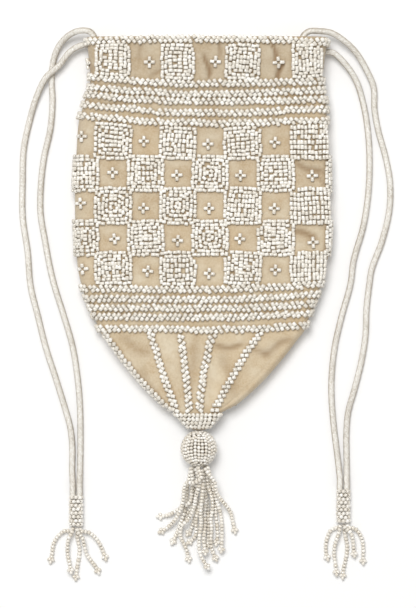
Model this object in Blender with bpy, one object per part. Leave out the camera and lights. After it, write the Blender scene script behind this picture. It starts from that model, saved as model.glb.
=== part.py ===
"""Beaded medicine bag with a drawstring mouth, a beaded ball and a bead tassel.

The bag lies on its back: +Z is up, the mouth points to +Y and the tassel to -Y.
Lengths below are in millimetres, and MM turns them into metres when a mesh is made.
A place on the suede is given by its height y along the bag, by how far around the
bag it lies, and by how far off the suede's outer face it is. Around runs from 0 to 1
over the front, 1 to 2 over the right side, 2 to 3 over the back and 3 to 4 over the
left side.
"""
import math

import bmesh
import bpy
from mathutils import Vector

MM = 0.001

# Clearances
GAP = 0.35            # between beadwork and the suede under it
SEAT_GAP = 0.3        # between pieces that butt or seat on each other
STRAND_GAP = 0.3      # between bead strands that lie on each other

# Suede and casing
SUEDE = 1.2           # thickness of the bag's wall
HEM_STRIP = 0.9       # thickness of the turned-in hem
CORD_DIAMETER = 3.4
CASING_PLAY = 0.9     # spare depth for a cord in the casing
MOUTH_GAP = 7.4       # open space between the two hems
BODY_THICKNESS = 14.0
CONE_THICKNESS = 12.0
CROWN = 1.2           # how far the front falls from its middle to its edges
BACK_HEIGHT = 2.3     # from the table to the suede of the back
STITCH_DROP = 2.2     # from the lower cord to where the hem is sewn down
FOLD_CLEARANCE = 0.5  # how much deeper a cord lies where it turns round a side fold

# Beadwork
BEADWORK = 1.65       # thickness of the sewn beads
BAND_HALF_HEIGHT = 1.95
BAND_RIDGE_HALF = 1.0
CORNER_LAP = 2.2      # how far neighbouring squares lap at their corners
CROSS_REACH = 3.1     # from a cross's middle to the end of an arm
CROSS_WAIST = 1.3
CROSS_HEIGHT = 1.4
CROSS_ROOT = 0.6
BEAD_RING = 2.0       # width of a ring of beads in a square
RING_DEPTH = 0.7      # depth of the groove between two rings
RING_COUNT = 3
WHOLE_SQUARE = 10.0   # a net's cell with every side longer than this gets its rings

# Heights along the bag, from the mouth down
RIM_Y = 147.6
RIM_ROUND = 0.9
TOP_BAND_DROP = 2.4
TOP_ROW_HEIGHT = 18.9
UPPER_BAND_STEPS = (0.0, 5.3, 4.5, 5.9, 5.8)
ROW_HEIGHTS = (16.5, 17.6, 17.9, 17.2, 17.3)
LOWER_BAND_STEPS = (0.0, 5.5, 5.0, 4.9, 6.6)
CONE_LENGTH = 43.0
COLLAR_ROW = 2.1
COLLAR_ROWS = 4
UPPER_LIFT = (3.4, 1.3)   # how far the upper bands rise at the left and right edges
LOWER_LIFT = (0.5, 2.5)

# Columns of the pattern, as the x of each line between two columns
COLUMN_LINES = (-58.0, -39.9, -22.3, -4.7, 12.9, 31.1, 49.2)
RIGHT_COLUMN_AROUND = 1.26
BACK_COLUMNS = 7
SEAM_AROUND = (3.05, 3.5)   # the plain strip with the bag's seam

# Ball and tassel
BALL_RADIUS = 10.1
BALL_X = -2.0
BALL_RIBS = 20
RIB_DEPTH = 0.5
CORE_RADIUS = 8.0
THREAD_RADIUS = 1.0
BALL_DROP = 10.4          # from the bag's tip to the ball's middle
STRAND_DIAMETER = 2.2
PICOT_SWELL = 1.6         # how much wider a strand's end beads lie
PICOT_LENGTH = 4.4
STRAND_FALL = 30.0        # length over which a strand comes down to the table
STRAND_SLOPE = 0.45
SLEEVE_RADIUS = 3.7
SLEEVE_ROWS = 4

# Mesh fineness
FRONT_STEPS = 10
SIDE_STEPS = 5
BACK_STEPS = 8
CORD_POINT_STEP = 9.2
STRAND_POINT_STEP = 4.4


# Heights worked out from the sizes above
def running_total(start, steps):
    """Return the heights reached by going down each step in turn."""
    heights = []
    for step in steps:
        start -= step
        heights.append(start)
    return heights


BAND_MARGIN = BAND_HALF_HEIGHT + GAP
TOP_BAND_Y = RIM_Y - TOP_BAND_DROP
TOP_ROW_Y = (TOP_BAND_Y - BAND_HALF_HEIGHT, TOP_BAND_Y - BAND_HALF_HEIGHT - TOP_ROW_HEIGHT)
UPPER_BANDS = running_total(TOP_ROW_Y[1] - BAND_MARGIN, UPPER_BAND_STEPS)
ROW_LINES = running_total(UPPER_BANDS[-1] - BAND_MARGIN, (0.0,) + ROW_HEIGHTS)
LOWER_BANDS = running_total(ROW_LINES[-1] - BAND_MARGIN, LOWER_BAND_STEPS)
CONE_TOP_Y = LOWER_BANDS[-1] - BAND_MARGIN - GAP
COLLAR_TOP_Y = CONE_TOP_Y - CONE_LENGTH - 2 * GAP
TIP_Y = COLLAR_TOP_Y - COLLAR_ROW * COLLAR_ROWS - GAP
BALL_Y = TIP_Y - BALL_DROP

CORD_RADIUS = CORD_DIAMETER / 2
CASING_DEPTH = CORD_DIAMETER + CASING_PLAY
HEM_OFF = SUEDE + CASING_DEPTH + HEM_STRIP
MOUTH_THICKNESS = 2 * HEM_OFF + MOUTH_GAP
CORD_OFF = SUEDE + CASING_DEPTH / 2
CASING_TOP_Y = RIM_Y - SUEDE
HOLE_RUN = 9.5        # how far inside the mouth's end a cord turns towards its hole
HOLE_REACH = 2.6      # how far outside the hole the cord runs straight
UPPER_CORD_Y = CASING_TOP_Y - CORD_RADIUS - 2 * SEAT_GAP
LOWER_CORD_Y = UPPER_CORD_Y - CORD_DIAMETER - 2 * SEAT_GAP
STITCH_Y = LOWER_CORD_Y - CORD_RADIUS - STITCH_DROP
STRAND_RADIUS = STRAND_DIAMETER / 2

# The suede's outline: height, left edge, right edge, thickness, height of its back
OUTLINE = (
    (RIM_Y, -63.8, 68.8, MOUTH_THICKNESS, BACK_HEIGHT),
    (STITCH_Y, -62.6, 67.4, MOUTH_THICKNESS - 1.8, BACK_HEIGHT),
    (UPPER_BANDS[0], -61.7, 66.0, BODY_THICKNESS + 1.6, BACK_HEIGHT),
    (UPPER_BANDS[2], -64.9, 67.8, BODY_THICKNESS, BACK_HEIGHT),
    (ROW_LINES[0], -68.3, 68.6, BODY_THICKNESS, BACK_HEIGHT),
    (ROW_LINES[2], -70.0, 70.0, BODY_THICKNESS, BACK_HEIGHT),
    (ROW_LINES[4], -69.2, 69.2, BODY_THICKNESS, BACK_HEIGHT),
    (ROW_LINES[5], -66.4, 65.2, BODY_THICKNESS - 0.8, BACK_HEIGHT),
    (LOWER_BANDS[2], -61.8, 60.5, BODY_THICKNESS - 1.4, BACK_HEIGHT),
    (LOWER_BANDS[4], -57.2, 56.4, CONE_THICKNESS, BACK_HEIGHT),
    (CONE_TOP_Y, -55.7, 54.9, CONE_THICKNESS, BACK_HEIGHT),
    (CONE_TOP_Y - 0.53 * CONE_LENGTH, -37.4, 37.3, CONE_THICKNESS - 1.0, BACK_HEIGHT + 0.9),
    (CONE_TOP_Y - 0.88 * CONE_LENGTH, -20.6, 18.2, CONE_THICKNESS - 1.8, BACK_HEIGHT + 2.4),
    (COLLAR_TOP_Y, -13.6, 8.8, CONE_THICKNESS - 2.6, BACK_HEIGHT + 3.1),
    (COLLAR_TOP_Y - 3.0, -11.2, 6.6, CONE_THICKNESS - 3.2, BACK_HEIGHT + 3.4),
    (TIP_Y, -5.4, 1.4, 6.0, BALL_RADIUS - 3.0),
)
RINGS = (
    RIM_Y, STITCH_Y, UPPER_BANDS[0], UPPER_BANDS[2], UPPER_BANDS[4], ROW_LINES[1], ROW_LINES[2],
    ROW_LINES[3], ROW_LINES[4], ROW_LINES[5], LOWER_BANDS[2], LOWER_BANDS[4], CONE_TOP_Y,
    CONE_TOP_Y - 0.27 * CONE_LENGTH, CONE_TOP_Y - 0.53 * CONE_LENGTH, CONE_TOP_Y - 0.75 * CONE_LENGTH,
    CONE_TOP_Y - 0.88 * CONE_LENGTH, COLLAR_TOP_Y, COLLAR_TOP_Y - 3.0, TIP_Y,
)

# Routes seen from above, from the bag to the sleeve, as x and the height above the mouth's edge
LEFT_OUTER_ROUTE = (
    (-78.9, -14.8), (-86.1, -21.4), (-91.6, -32.4), (-95.4, -45.0), (-98.7, -61.0), (-99.3, -78.6),
    (-99.3, -97.8), (-96.5, -117.6), (-94.9, -136.3), (-91.0, -152.3), (-86.6, -169.9), (-81.1, -186.9),
    (-76.7, -201.0), (-72.9, -215.0), (-71.9, -225.4), (-72.0, -238.6),
)
LEFT_INNER_ROUTE = (
    (-74.0, 1.2), (-78.9, -3.8), (-81.7, -9.8), (-82.8, -15.3), (-83.3, -23.6), (-82.8, -33.5),
    (-83.9, -48.9), (-87.7, -66.5), (-89.4, -83.5), (-89.4, -96.2), (-87.2, -109.9), (-83.9, -127.5),
    (-81.7, -136.3), (-76.7, -152.3), (-71.8, -169.3), (-69.0, -186.9), (-67.7, -202.3), (-67.4, -217.7),
    (-67.5, -233.1),
)
RIGHT_OUTER_ROUTE = (
    (70.7, 2.8), (77.3, -1.0), (84.4, -7.6), (89.9, -16.4), (94.3, -26.3), (94.9, -39.0),
    (97.1, -51.1), (100.9, -64.8), (103.4, -78.6), (103.1, -94.0), (99.0, -111.6), (93.2, -127.5),
    (92.1, -134.7), (90.5, -148.4), (89.9, -163.8), (87.7, -177.6), (83.9, -193.0), (80.3, -206.2),
    (79.4, -217.7), (79.5, -233.1),
)
RIGHT_INNER_ROUTE = (
    (77.3, -12.6), (84.4, -22.5), (88.3, -34.0), (91.0, -48.9), (92.1, -63.7), (91.6, -83.5),
    (88.8, -102.8), (83.3, -122.6), (81.7, -134.7), (76.7, -153.1), (72.9, -169.9), (71.2, -186.9),
    (71.2, -198.5), (72.3, -212.5), (74.3, -229.3),
)
# Where a cord passes over the mouth's edge
LEFT_MOUTH_X = -59.5
RIGHT_MOUTH_X = 54.8
# Each sleeve's upper and lower end on its axis, measured as the routes are
LEFT_SLEEVE = ((-69.7, -251.8), (-69.7, -268.8))
RIGHT_SLEEVE = ((77.6, -248.5), (77.6, -266.7))

# The tassel's strands from the ball to their tips, from the ball's middle, the ones that lie lowest first
TASSEL_ROUTES = (
    ((4.5, -28.4), (5.0, -36.0), (5.3, -44.9), (4.8, -53.1), (4.2, -56.5)),
    ((6.1, -19.5), (8.9, -27.2), (9.2, -36.0), (10.0, -43.2), (10.2, -49.2), (9.2, -54.3)),
    ((-3.2, -19.5), (-3.2, -27.9), (-4.9, -33.4), (-7.1, -37.2), (-9.3, -40.5)),
    ((-1.6, -21.8), (-1.0, -31.7), (-2.7, -40.0), (-4.3, -44.9), (-7.1, -48.8)),
    ((4.5, -19.5), (7.0, -26.8), (7.5, -32.8), (6.5, -40.0), (7.0, -45.5), (6.5, -51.5), (7.4, -56.5),
     (10.0, -62.5)),
    ((-4.9, -14.7), (-6.0, -18.0), (-6.5, -24.0), (-7.1, -31.2), (-8.2, -35.5), (-10.9, -43.8),
     (-13.7, -50.4), (-15.3, -53.5)),
    ((2.8, -20.7), (3.7, -28.4), (3.1, -36.0), (3.4, -42.7), (2.6, -49.2), (3.1, -54.3), (3.7, -59.1)),
    ((1.7, -20.7), (1.4, -27.9), (0.3, -32.2), (-1.3, -37.2), (-1.9, -42.7), (-1.0, -46.5),
     (-3.8, -50.8), (-7.0, -53.1)),
    ((7.2, -18.0), (8.9, -25.0), (10.5, -31.2), (12.2, -37.8), (12.7, -48.8), (12.3, -58.0)),
    ((-3.4, -18.5), (-4.2, -24.0), (-4.1, -28.4), (-6.5, -31.2), (-10.4, -32.8), (-13.8, -35.4),
     (-17.5, -37.2), (-23.6, -38.0)),
    ((2.3, -18.5), (1.7, -26.8), (0.9, -36.0), (1.2, -41.5), (0.2, -48.8), (0.2, -55.9),
     (1.7, -60.5), (5.6, -66.9)),
    ((0.6, -18.0), (-0.6, -22.5), (-1.9, -27.2), (-2.5, -31.7), (-4.1, -35.8), (-6.0, -39.2),
     (-9.0, -42.2), (-10.4, -45.2), (-10.0, -48.8), (-8.5, -52.4), (-7.0, -55.4), (-6.3, -58.6),
     (-5.2, -63.4)),
    ((5.3, -14.0), (8.6, -17.4), (8.9, -21.2), (10.2, -25.0), (13.3, -29.5), (17.1, -34.5),
     (18.8, -41.0), (20.2, -47.7)),
    ((1.2, -16.5), (-1.9, -18.2), (-5.4, -18.5), (-7.6, -19.0), (-8.2, -21.8), (-8.3, -25.7),
     (-8.9, -30.0), (-10.4, -34.5), (-13.7, -40.2), (-18.1, -44.4), (-22.5, -47.0)),
)
# Where each strand leaves the ball: its distance from the axis and its angle, 0 at +X and 90 up
TASSEL_STARTS = (
    (4.9, 270), (4.9, 306), (4.9, 234), (2.45, 270), (4.9, 342), (4.9, 198), (2.45, 342), (2.45, 198),
    (4.9, 18), (4.9, 162), (2.45, 54), (2.45, 126), (4.9, 54), (4.9, 97),
)
LEFT_FRINGE_ROUTES = (
    ((-76.2, -271.5), (-79.5, -274.0), (-81.7, -277.1), (-82.8, -281.5), (-83.3, -285.9), (-84.2, -289.6)),
    ((-72.9, -272.6), (-74.0, -276.6), (-74.5, -283.2), (-73.4, -289.2), (-72.3, -295.2)),
    ((-69.6, -272.7), (-68.1, -279.3), (-68.2, -285.9), (-69.0, -290.3), (-70.1, -299.1)),
    ((-67.2, -273.2), (-65.6, -276.6), (-64.6, -282.1), (-62.7, -286.5), (-59.7, -290.0), (-56.9, -295.5)),
    ((-65.2, -271.2), (-61.6, -272.8), (-58.0, -276.6), (-55.6, -281.0), (-53.1, -288.1)),
)
RIGHT_FRINGE_ROUTES = (
    ((73.4, -269.2), (70.4, -271.6), (68.7, -275.5), (68.0, -279.9), (68.2, -283.7), (69.4, -288.2)),
    ((75.6, -271.1), (74.0, -275.5), (72.6, -281.0), (72.6, -285.4), (73.4, -289.8), (74.0, -296.4)),
    ((78.2, -271.6), (79.4, -276.3), (79.8, -281.0), (79.3, -285.9), (77.8, -292.3), (77.3, -298.4)),
    ((80.4, -270.5), (82.2, -273.6), (83.0, -277.7), (83.3, -281.5), (83.9, -286.3)),
    ((82.2, -268.9), (84.9, -270.8), (87.6, -274.9), (88.6, -279.3), (88.6, -285.4), (88.6, -290.4)),
)
FRINGE_START_RADIUS = 2.15


def clear_scene():
    """Remove every object of the file that is open."""
    for thing in list(bpy.data.objects):
        bpy.data.objects.remove(thing, do_unlink=True)


def make_material(name, color, roughness, metallic=0.0):
    """Make a plain Principled material."""
    material = bpy.data.materials.new(name)
    material.use_nodes = True
    shader = material.node_tree.nodes["Principled BSDF"]
    shader.inputs["Base Color"].default_value = (*color, 1.0)
    shader.inputs["Roughness"].default_value = roughness
    shader.inputs["Metallic"].default_value = metallic
    return material


SUEDE_COLOR = (0.60, 0.49, 0.33)
PEARL_COLOR = (0.83, 0.80, 0.74)
SATIN_COLOR = (0.86, 0.83, 0.76)
CORE_COLOR = (0.62, 0.47, 0.30)


def lerp(low, high, share):
    """Return the value a share of the way from low to high."""
    return low + (high - low) * share


def outline_at(y):
    """Return left edge, right edge, thickness and back height on the smooth outline."""
    y = min(max(y, OUTLINE[-1][0]), OUTLINE[0][0])
    index = next(i for i in range(len(OUTLINE) - 1) if y >= OUTLINE[i + 1][0])
    above, below = OUTLINE[index], OUTLINE[index + 1]
    before, after = OUTLINE[max(index - 1, 0)], OUTLINE[min(index + 2, len(OUTLINE) - 1)]
    span = below[0] - above[0]
    share = (y - above[0]) / span
    values = []
    for column in range(1, 5):
        slope_above = (below[column] - before[column]) / (below[0] - before[0]) * span
        slope_below = (after[column] - above[column]) / (after[0] - above[0]) * span
        values.append(
            (2 * share**3 - 3 * share**2 + 1) * above[column]
            + (share**3 - 2 * share**2 + share) * slope_above
            + (3 * share**2 - 2 * share**3) * below[column]
            + (share**3 - share**2) * slope_below
        )
    return values


def section_at(y):
    """Return the middle x, the flat half width, the side radius, the back height and the crown."""
    left, right, thickness, back = outline_at(y)
    crown = CROWN * thickness / BODY_THICKNESS
    half_width = (right - left) / 2
    radius = min((thickness - crown) / 2, half_width - 0.4)
    return (left + right) / 2, half_width - radius, radius, back, crown


def ring_point(y, around, off):
    """Return a point of the smooth section at y."""
    middle, flat, radius, back, crown = section_at(y)
    part = min(int(around % 4), 3)
    share = around % 4 - part
    center_z = back + radius
    if part == 0:
        across = 2 * share - 1
        return Vector((middle + flat * across, y, center_z + radius + off + crown * (1 - across**2)))
    if part == 2:
        return Vector((middle + flat * (1 - 2 * share), y, back - off))
    angle = math.pi * share if part == 1 else math.pi * (1 - share)
    side = 1 if part == 1 else -1
    reach = radius + off
    x = middle + side * (flat + reach * math.sin(angle))
    return Vector((x, y, center_z + reach * math.cos(angle)))


def skin(y, around, off):
    """Return a point off the suede, which runs straight from each ring to the next."""
    y_inside = min(max(y, RINGS[-1]), RINGS[0])
    index = next(i for i in range(len(RINGS) - 1) if y_inside >= RINGS[i + 1])
    share = (RINGS[index] - y_inside) / (RINGS[index] - RINGS[index + 1])
    above = ring_point(RINGS[index], around, off)
    below = ring_point(RINGS[index + 1], around, off)
    point = above.lerp(below, share)
    point.y = y
    return point


def around_at_x(y, x):
    """Return how far around the front a given x lies, past 0 or 1 on the side folds."""
    middle, flat, radius, _, _ = section_at(y)
    across = x - middle
    if abs(across) <= flat:
        return (across + flat) / (2 * flat)
    turn = math.asin(min((abs(across) - flat) / radius, 0.99)) / math.pi
    return 1 + turn if across > 0 else -turn


def steps_between(start, end, count):
    """Return count even steps from start, with end left out."""
    return [lerp(start, end, step / count) for step in range(count)]


RING_STEPS = (
    steps_between(0, 1, FRONT_STEPS) + steps_between(1, 2, SIDE_STEPS)
    + steps_between(2, 3, BACK_STEPS) + steps_between(3, 4, SIDE_STEPS)
)


# Where the hem ends at the side folds, as around values: sewn down, hanging free, cut back, bare edge
HEM_EDGES = (
    (0.065, 0.05, 0.035, 0.02),
    (0.87, 0.885, 0.9, 0.915),
    (2.14, 2.125, 2.11, 2.095),
    (2.885, 2.9, 2.915, 2.93),
)
BODY_STEPS = sorted(set(RING_STEPS) | {around for edge in HEM_EDGES for around in edge})


def rise_at(point_x, lift):
    """Return how far a band rises at x, for its rise at the left and right edges."""
    edge = COLUMN_LINES[0] if point_x < 0 else -COLUMN_LINES[0]
    side = lift[0] if point_x < 0 else lift[1]
    return side * (point_x / edge) ** 2


def raised_skin(y, around, off, lift):
    """Return a point off the suede on a line that rises towards the bag's edges."""
    x = skin(y, around, 0.0).x
    return skin(y + rise_at(x, lift), around, off)


def finish_mesh(shape, name, material, smooth_angle=40):
    """Turn a bmesh in millimetres into an object in metres with its faces pointing out."""
    bmesh.ops.recalc_face_normals(shape, faces=shape.faces)
    bmesh.ops.scale(shape, vec=(MM, MM, MM), verts=shape.verts)
    mesh = bpy.data.meshes.new(name)
    shape.to_mesh(mesh)
    shape.free()
    mesh.shade_smooth()
    mesh.set_sharp_from_angle(angle=math.radians(smooth_angle))
    thing = bpy.data.objects.new(name, mesh)
    thing.data.materials.append(material)
    bpy.context.collection.objects.link(thing)
    return thing


def loft(name, rows, material, closed_around=True, end_caps=True):
    """Join rows of points into one skin, each row a ring when closed_around is set."""
    shape = bmesh.new()
    lines = [[shape.verts.new(point) for point in row] for row in rows]
    count = len(lines[0])
    for upper, lower in zip(lines, lines[1:]):
        for step in range(count if closed_around else count - 1):
            after = (step + 1) % count
            shape.faces.new((upper[step], upper[after], lower[after], lower[step]))
    if end_caps:
        shape.faces.new(lines[0])
        shape.faces.new(lines[-1])
    return finish_mesh(shape, name, material)


def hoop(name, rows, material):
    """Join closed rings into a ring-shaped solid, the last ring to the first."""
    shape = bmesh.new()
    lines = [[shape.verts.new(point) for point in row] for row in rows]
    count = len(lines[0])
    for upper, lower in zip(lines, lines[1:] + lines[:1]):
        for step in range(count):
            after = (step + 1) % count
            shape.faces.new((upper[step], upper[after], lower[after], lower[step]))
    return finish_mesh(shape, name, material)


# The suede bag
SEWN, FREE, CUT_BACK, BARE = range(4)
BARE_LIP = 0.1        # how far the suede's bare edge stands in


def hem_state(around):
    """Return how the hem is at an around value: it is left open at the side folds."""
    for edge in HEM_EDGES:
        if around in edge:
            return edge.index(around)
    in_front = HEM_EDGES[0][SEWN] < around < HEM_EDGES[1][SEWN]
    in_back = HEM_EDGES[2][SEWN] < around < HEM_EDGES[3][SEWN]
    return SEWN if in_front or in_back else BARE


def hem_profile(state):
    """Return the height and offset of the hem's corners, from the mouth's edge to the wall inside."""
    strip_top = CASING_TOP_Y - SEAT_GAP
    if state == BARE:
        edge = [(RIM_Y, -SUEDE + 0.2), (RIM_Y - RIM_ROUND, -SUEDE)]
        lip = [(strip_top - BARE_LIP * step, -SUEDE - BARE_LIP) for step in range(5)]
        return edge + lip + [(strip_top - BARE_LIP * 6, -SUEDE), (STITCH_Y, -SUEDE)]
    inner, outer = -HEM_OFF, HEM_STRIP - HEM_OFF
    edge = [(RIM_Y, RIM_ROUND + inner), (RIM_Y - RIM_ROUND, inner)]
    ceiling = [(CASING_TOP_Y, outer), (CASING_TOP_Y, -SUEDE), (STITCH_Y, -SUEDE)]
    if state == CUT_BACK:
        end_y = strip_top + SEAT_GAP / 2
        return edge + [(end_y, inner), (strip_top, inner), (strip_top, outer), (end_y, outer)] + ceiling
    if state == FREE:
        end_y = STITCH_Y - 1.0
        return edge + [(STITCH_Y, inner), (end_y, inner), (end_y, outer), (STITCH_Y, outer)] + ceiling
    sewn_y = STITCH_Y - 0.7 * STITCH_DROP
    sewn_off = -SUEDE - SEAT_GAP
    strip = [(STITCH_Y, inner), (sewn_y, sewn_off - HEM_STRIP), (sewn_y, sewn_off), (STITCH_Y, outer)]
    return edge + strip + ceiling


def make_bag_body(material):
    """Make the wrapped suede with its turned-in hem, from the outside tip to the inside tip."""
    rows = [[skin(y, around, 0.0) for around in BODY_STEPS] for y in reversed(RINGS[1:])]
    for y, off in ((RIM_Y - RIM_ROUND, 0.0), (RIM_Y, -0.2)):
        rows.append([skin(y, around, off) for around in BODY_STEPS])
    profiles = [hem_profile(hem_state(around)) for around in BODY_STEPS]
    for place in range(len(profiles[0])):
        row = []
        for around, profile in zip(BODY_STEPS, profiles):
            y, off = profile[place]
            row.append(skin(y, around, off))
        rows.append(row)
    inside = [RINGS[index] for index in (2, 4, 6, 8, 10, 12, 14, 16)]
    rows += [[skin(y, around, -SUEDE) for around in BODY_STEPS] for y in inside]
    return loft("bag_body", rows, material)


def make_cutter(name, pieces):
    """Join closed shapes, each a list of a bottom and a top ring, into one hidden tool."""
    shape = bmesh.new()
    for bottom_ring, top_ring in pieces:
        bottom = [shape.verts.new(point) for point in bottom_ring]
        top = [shape.verts.new(point) for point in top_ring]
        for step in range(len(bottom)):
            after = (step + 1) % len(bottom)
            shape.faces.new((bottom[step], bottom[after], top[after], top[step]))
        shape.faces.new(bottom)
        shape.faces.new(top)
    cutter = finish_mesh(shape, name, PLAIN_MATERIALS["suede"])
    cutter.hide_render = True
    cutter.display_type = "WIRE"
    return cutter


def apply_cutter(thing, cutter, operation):
    """Put a Boolean on a piece."""
    cut = thing.modifiers.new(cutter.name, "BOOLEAN")
    cut.operation = operation
    cut.object = cutter
    cut.solver = "EXACT"


def hole_piece(start, end, radius, sides=10):
    """Return the end rings of a round bar from start to end."""
    start, end = Vector(start), Vector(end)
    along = (end - start).normalized()
    across = along.cross(Vector((0, 0, 1))).normalized()
    upward = across.cross(along)
    turns = [2 * math.pi * step / sides for step in range(sides)]
    spokes = [across * math.cos(turn) * radius + upward * math.sin(turn) * radius for turn in turns]
    return [start + spoke for spoke in spokes], [end + spoke for spoke in spokes]


def cross_piece(y, x):
    """Return the bottom and top rings of a cross of beads on the front."""
    rings = []
    for off, grow in ((-CROSS_ROOT, 1.0), (CROSS_HEIGHT, 0.85)):
        ring = []
        for step in range(8):
            turn = math.pi / 4 * step
            reach = (CROSS_WAIST if step % 2 else CROSS_REACH) * grow
            place_y = y + reach * math.sin(turn)
            around = around_at_x(place_y, x + reach * math.cos(turn))
            ring.append(skin(place_y, around, off))
        rings.append(ring)
    return rings


def column_middle(column):
    """Return the x of a front column's middle."""
    return (COLUMN_LINES[column - 1] + COLUMN_LINES[column]) / 2


def make_crosses():
    """Return the tool that raises a cross in each bare cell of the front."""
    places = []
    for row in range(len(ROW_HEIGHTS)):
        y = (ROW_LINES[row] + ROW_LINES[row + 1]) / 2
        columns = (2, 4, 6) if row % 2 == 0 else (1, 3, 5)
        places += [(y, column_middle(column)) for column in columns]
        if row % 2:
            places.append((y, lerp(COLUMN_LINES[-1], -COLUMN_LINES[0], 0.55)))
    top_y = (TOP_ROW_Y[0] + TOP_ROW_Y[1]) / 2
    places += [(top_y, column_middle(column)) for column in (2, 4, 6)]
    return make_cutter("cross_shapes", [cross_piece(y, x) for y, x in places])


# Beadwork
def make_band(name, y, lift, material):
    """Make one raised band that runs round the bag and stops at the seam."""
    stations = (
        [SEAM_AROUND[1]] + [step for step in RING_STEPS if step > SEAM_AROUND[1]]
        + [step + 4 for step in RING_STEPS if step <= 3] + [SEAM_AROUND[0] + 4]
    )
    profile = (
        (BAND_HALF_HEIGHT, GAP), (BAND_RIDGE_HALF, GAP + BEADWORK),
        (-BAND_RIDGE_HALF, GAP + BEADWORK), (-BAND_HALF_HEIGHT, GAP),
    )
    rows = []
    for around in stations:
        rows.append([raised_skin(y + rise, around % 4, off, lift) for rise, off in profile])
    return loft(name, rows, material)


def carve_rings(shape, squares):
    """Carve the grooves between the rings of beads into the outer faces of whole squares."""
    bmesh.ops.recalc_face_normals(shape, faces=shape.faces)
    whole = [face for face in squares if min(edge.calc_length() for edge in face.edges) > WHOLE_SQUARE]
    for depth in (-RING_DEPTH, RING_DEPTH) * RING_COUNT:
        bmesh.ops.inset_individual(
            shape, faces=whole, thickness=BEAD_RING / 2, depth=depth, use_even_offset=True
        )


def make_bead_net(name, lines_across, lines_down, is_beaded, thickness, ringed, material):
    """Make a slab of sewn beads from the cells of a grid that are beaded.

    lines_across gives functions of the height that return an around value, and
    lines_down gives functions that return a point for an around value and an offset.
    thickness gives the offsets of the slab's inner and outer face.
    """
    shape = bmesh.new()
    points = {}

    def corner(down, across, side):
        key = (down, across, side)
        if key not in points:
            height, place = lines_down[down]
            points[key] = shape.verts.new(place(height, lines_across[across](height), thickness[side]))
        return points[key]

    rows, columns = len(lines_down) - 1, len(lines_across) - 1
    cells = {(row, column) for row in range(rows) for column in range(columns) if is_beaded(row, column)}
    squares = []
    for row, column in sorted(cells):
        corners = ((row, column), (row, column + 1), (row + 1, column + 1), (row + 1, column))
        squares.append(shape.faces.new([corner(down, across, 1) for down, across in corners]))
        shape.faces.new([corner(down, across, 0) for down, across in reversed(corners)])
        neighbours = ((row - 1, column), (row, column + 1), (row + 1, column), (row, column - 1))
        for side, neighbour in enumerate(neighbours):
            if neighbour in cells:
                continue
            first, second = corners[side], corners[(side + 1) % 4]
            shape.faces.new((corner(*second, 1), corner(*first, 1), corner(*first, 0), corner(*second, 0)))
    if ringed:
        carve_rings(shape, squares)
    return finish_mesh(shape, name, material, smooth_angle=30)


def down_lines(lift_of_line):
    """Return the grid's lines across the rows, a pair where two rows lap."""
    lines = []
    for index, height in enumerate(ROW_LINES):
        lift = lift_of_line[index]

        def place(y, around, off, lift=lift):
            return raised_skin(y, around, off, lift)

        if index in (0, len(ROW_LINES) - 1):
            lines.append((height, place))
        else:
            lines.append((height + CORNER_LAP / 2, place))
            lines.append((height - CORNER_LAP / 2, place))
    return lines


ROW_LIFTS = (UPPER_LIFT, (0.0, 0.0), (0.0, 0.0), (0.0, 0.0), (0.0, 0.0), LOWER_LIFT)


def lapped_rows(row):
    """Return the pattern rows that cover a grid row: two where they lap."""
    return (row // 2,) if row % 2 == 0 else (row // 2, row // 2 + 1)


def make_checker_front(material):
    """Make the net of beaded squares on the front, with the columns that turn both side folds."""
    lines, owners = [], []
    for around in (SEAM_AROUND[1], 3.67, 3.84, 4.0):
        lines.append(lambda y, around=around: around - 4)
        owners.append((0,))
    for column, x in enumerate(COLUMN_LINES):
        for shift in (-CORNER_LAP / 2, CORNER_LAP / 2):
            lines.append(lambda y, x=x + shift: around_at_x(y, x))
        owners += [(column, column + 1), (column + 1,)]
    side_lap = 0.04
    last = len(COLUMN_LINES)
    lap = (RIGHT_COLUMN_AROUND - side_lap, RIGHT_COLUMN_AROUND + side_lap)
    for around in (1.0, 1.11, *lap, 1.46, 1.63, 1.8, 1.97):
        lines.append(lambda y, around=around: around)
    owners += [(last,), (last,), (last, last + 1)] + [(last + 1,)] * 4

    def is_beaded(row, column):
        if column >= len(owners):
            return False
        return any((place + line) % 2 for line in lapped_rows(row) for place in owners[column])

    thickness = (GAP, GAP + BEADWORK)
    return make_bead_net("checker_front", lines, down_lines(ROW_LIFTS), is_beaded, thickness, True, material)


def make_checker_back(material):
    """Make the net of beaded squares on the back, whose outer face lies on the table."""
    lines, owners = [], []
    for line in range(BACK_COLUMNS + 1):
        shifts = (-CORNER_LAP / 2, CORNER_LAP / 2) if 0 < line < BACK_COLUMNS else (0.0,)
        for shift in shifts:
            middle = 2 + line / BACK_COLUMNS
            lines.append(lambda y, middle=middle, shift=shift: middle + shift / (2 * section_at(y)[1]))
        if 0 < line < BACK_COLUMNS:
            owners += [(line - 1, line), (line,)]
        elif line == 0:
            owners.append((0,))

    def is_beaded(row, column):
        if column >= len(owners):
            return False
        return any((place + line) % 2 == 0 for line in lapped_rows(row) for place in owners[column])

    thickness = (GAP, BACK_HEIGHT)
    return make_bead_net("checker_back", lines, down_lines(ROW_LIFTS), is_beaded, thickness, False, material)


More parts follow.
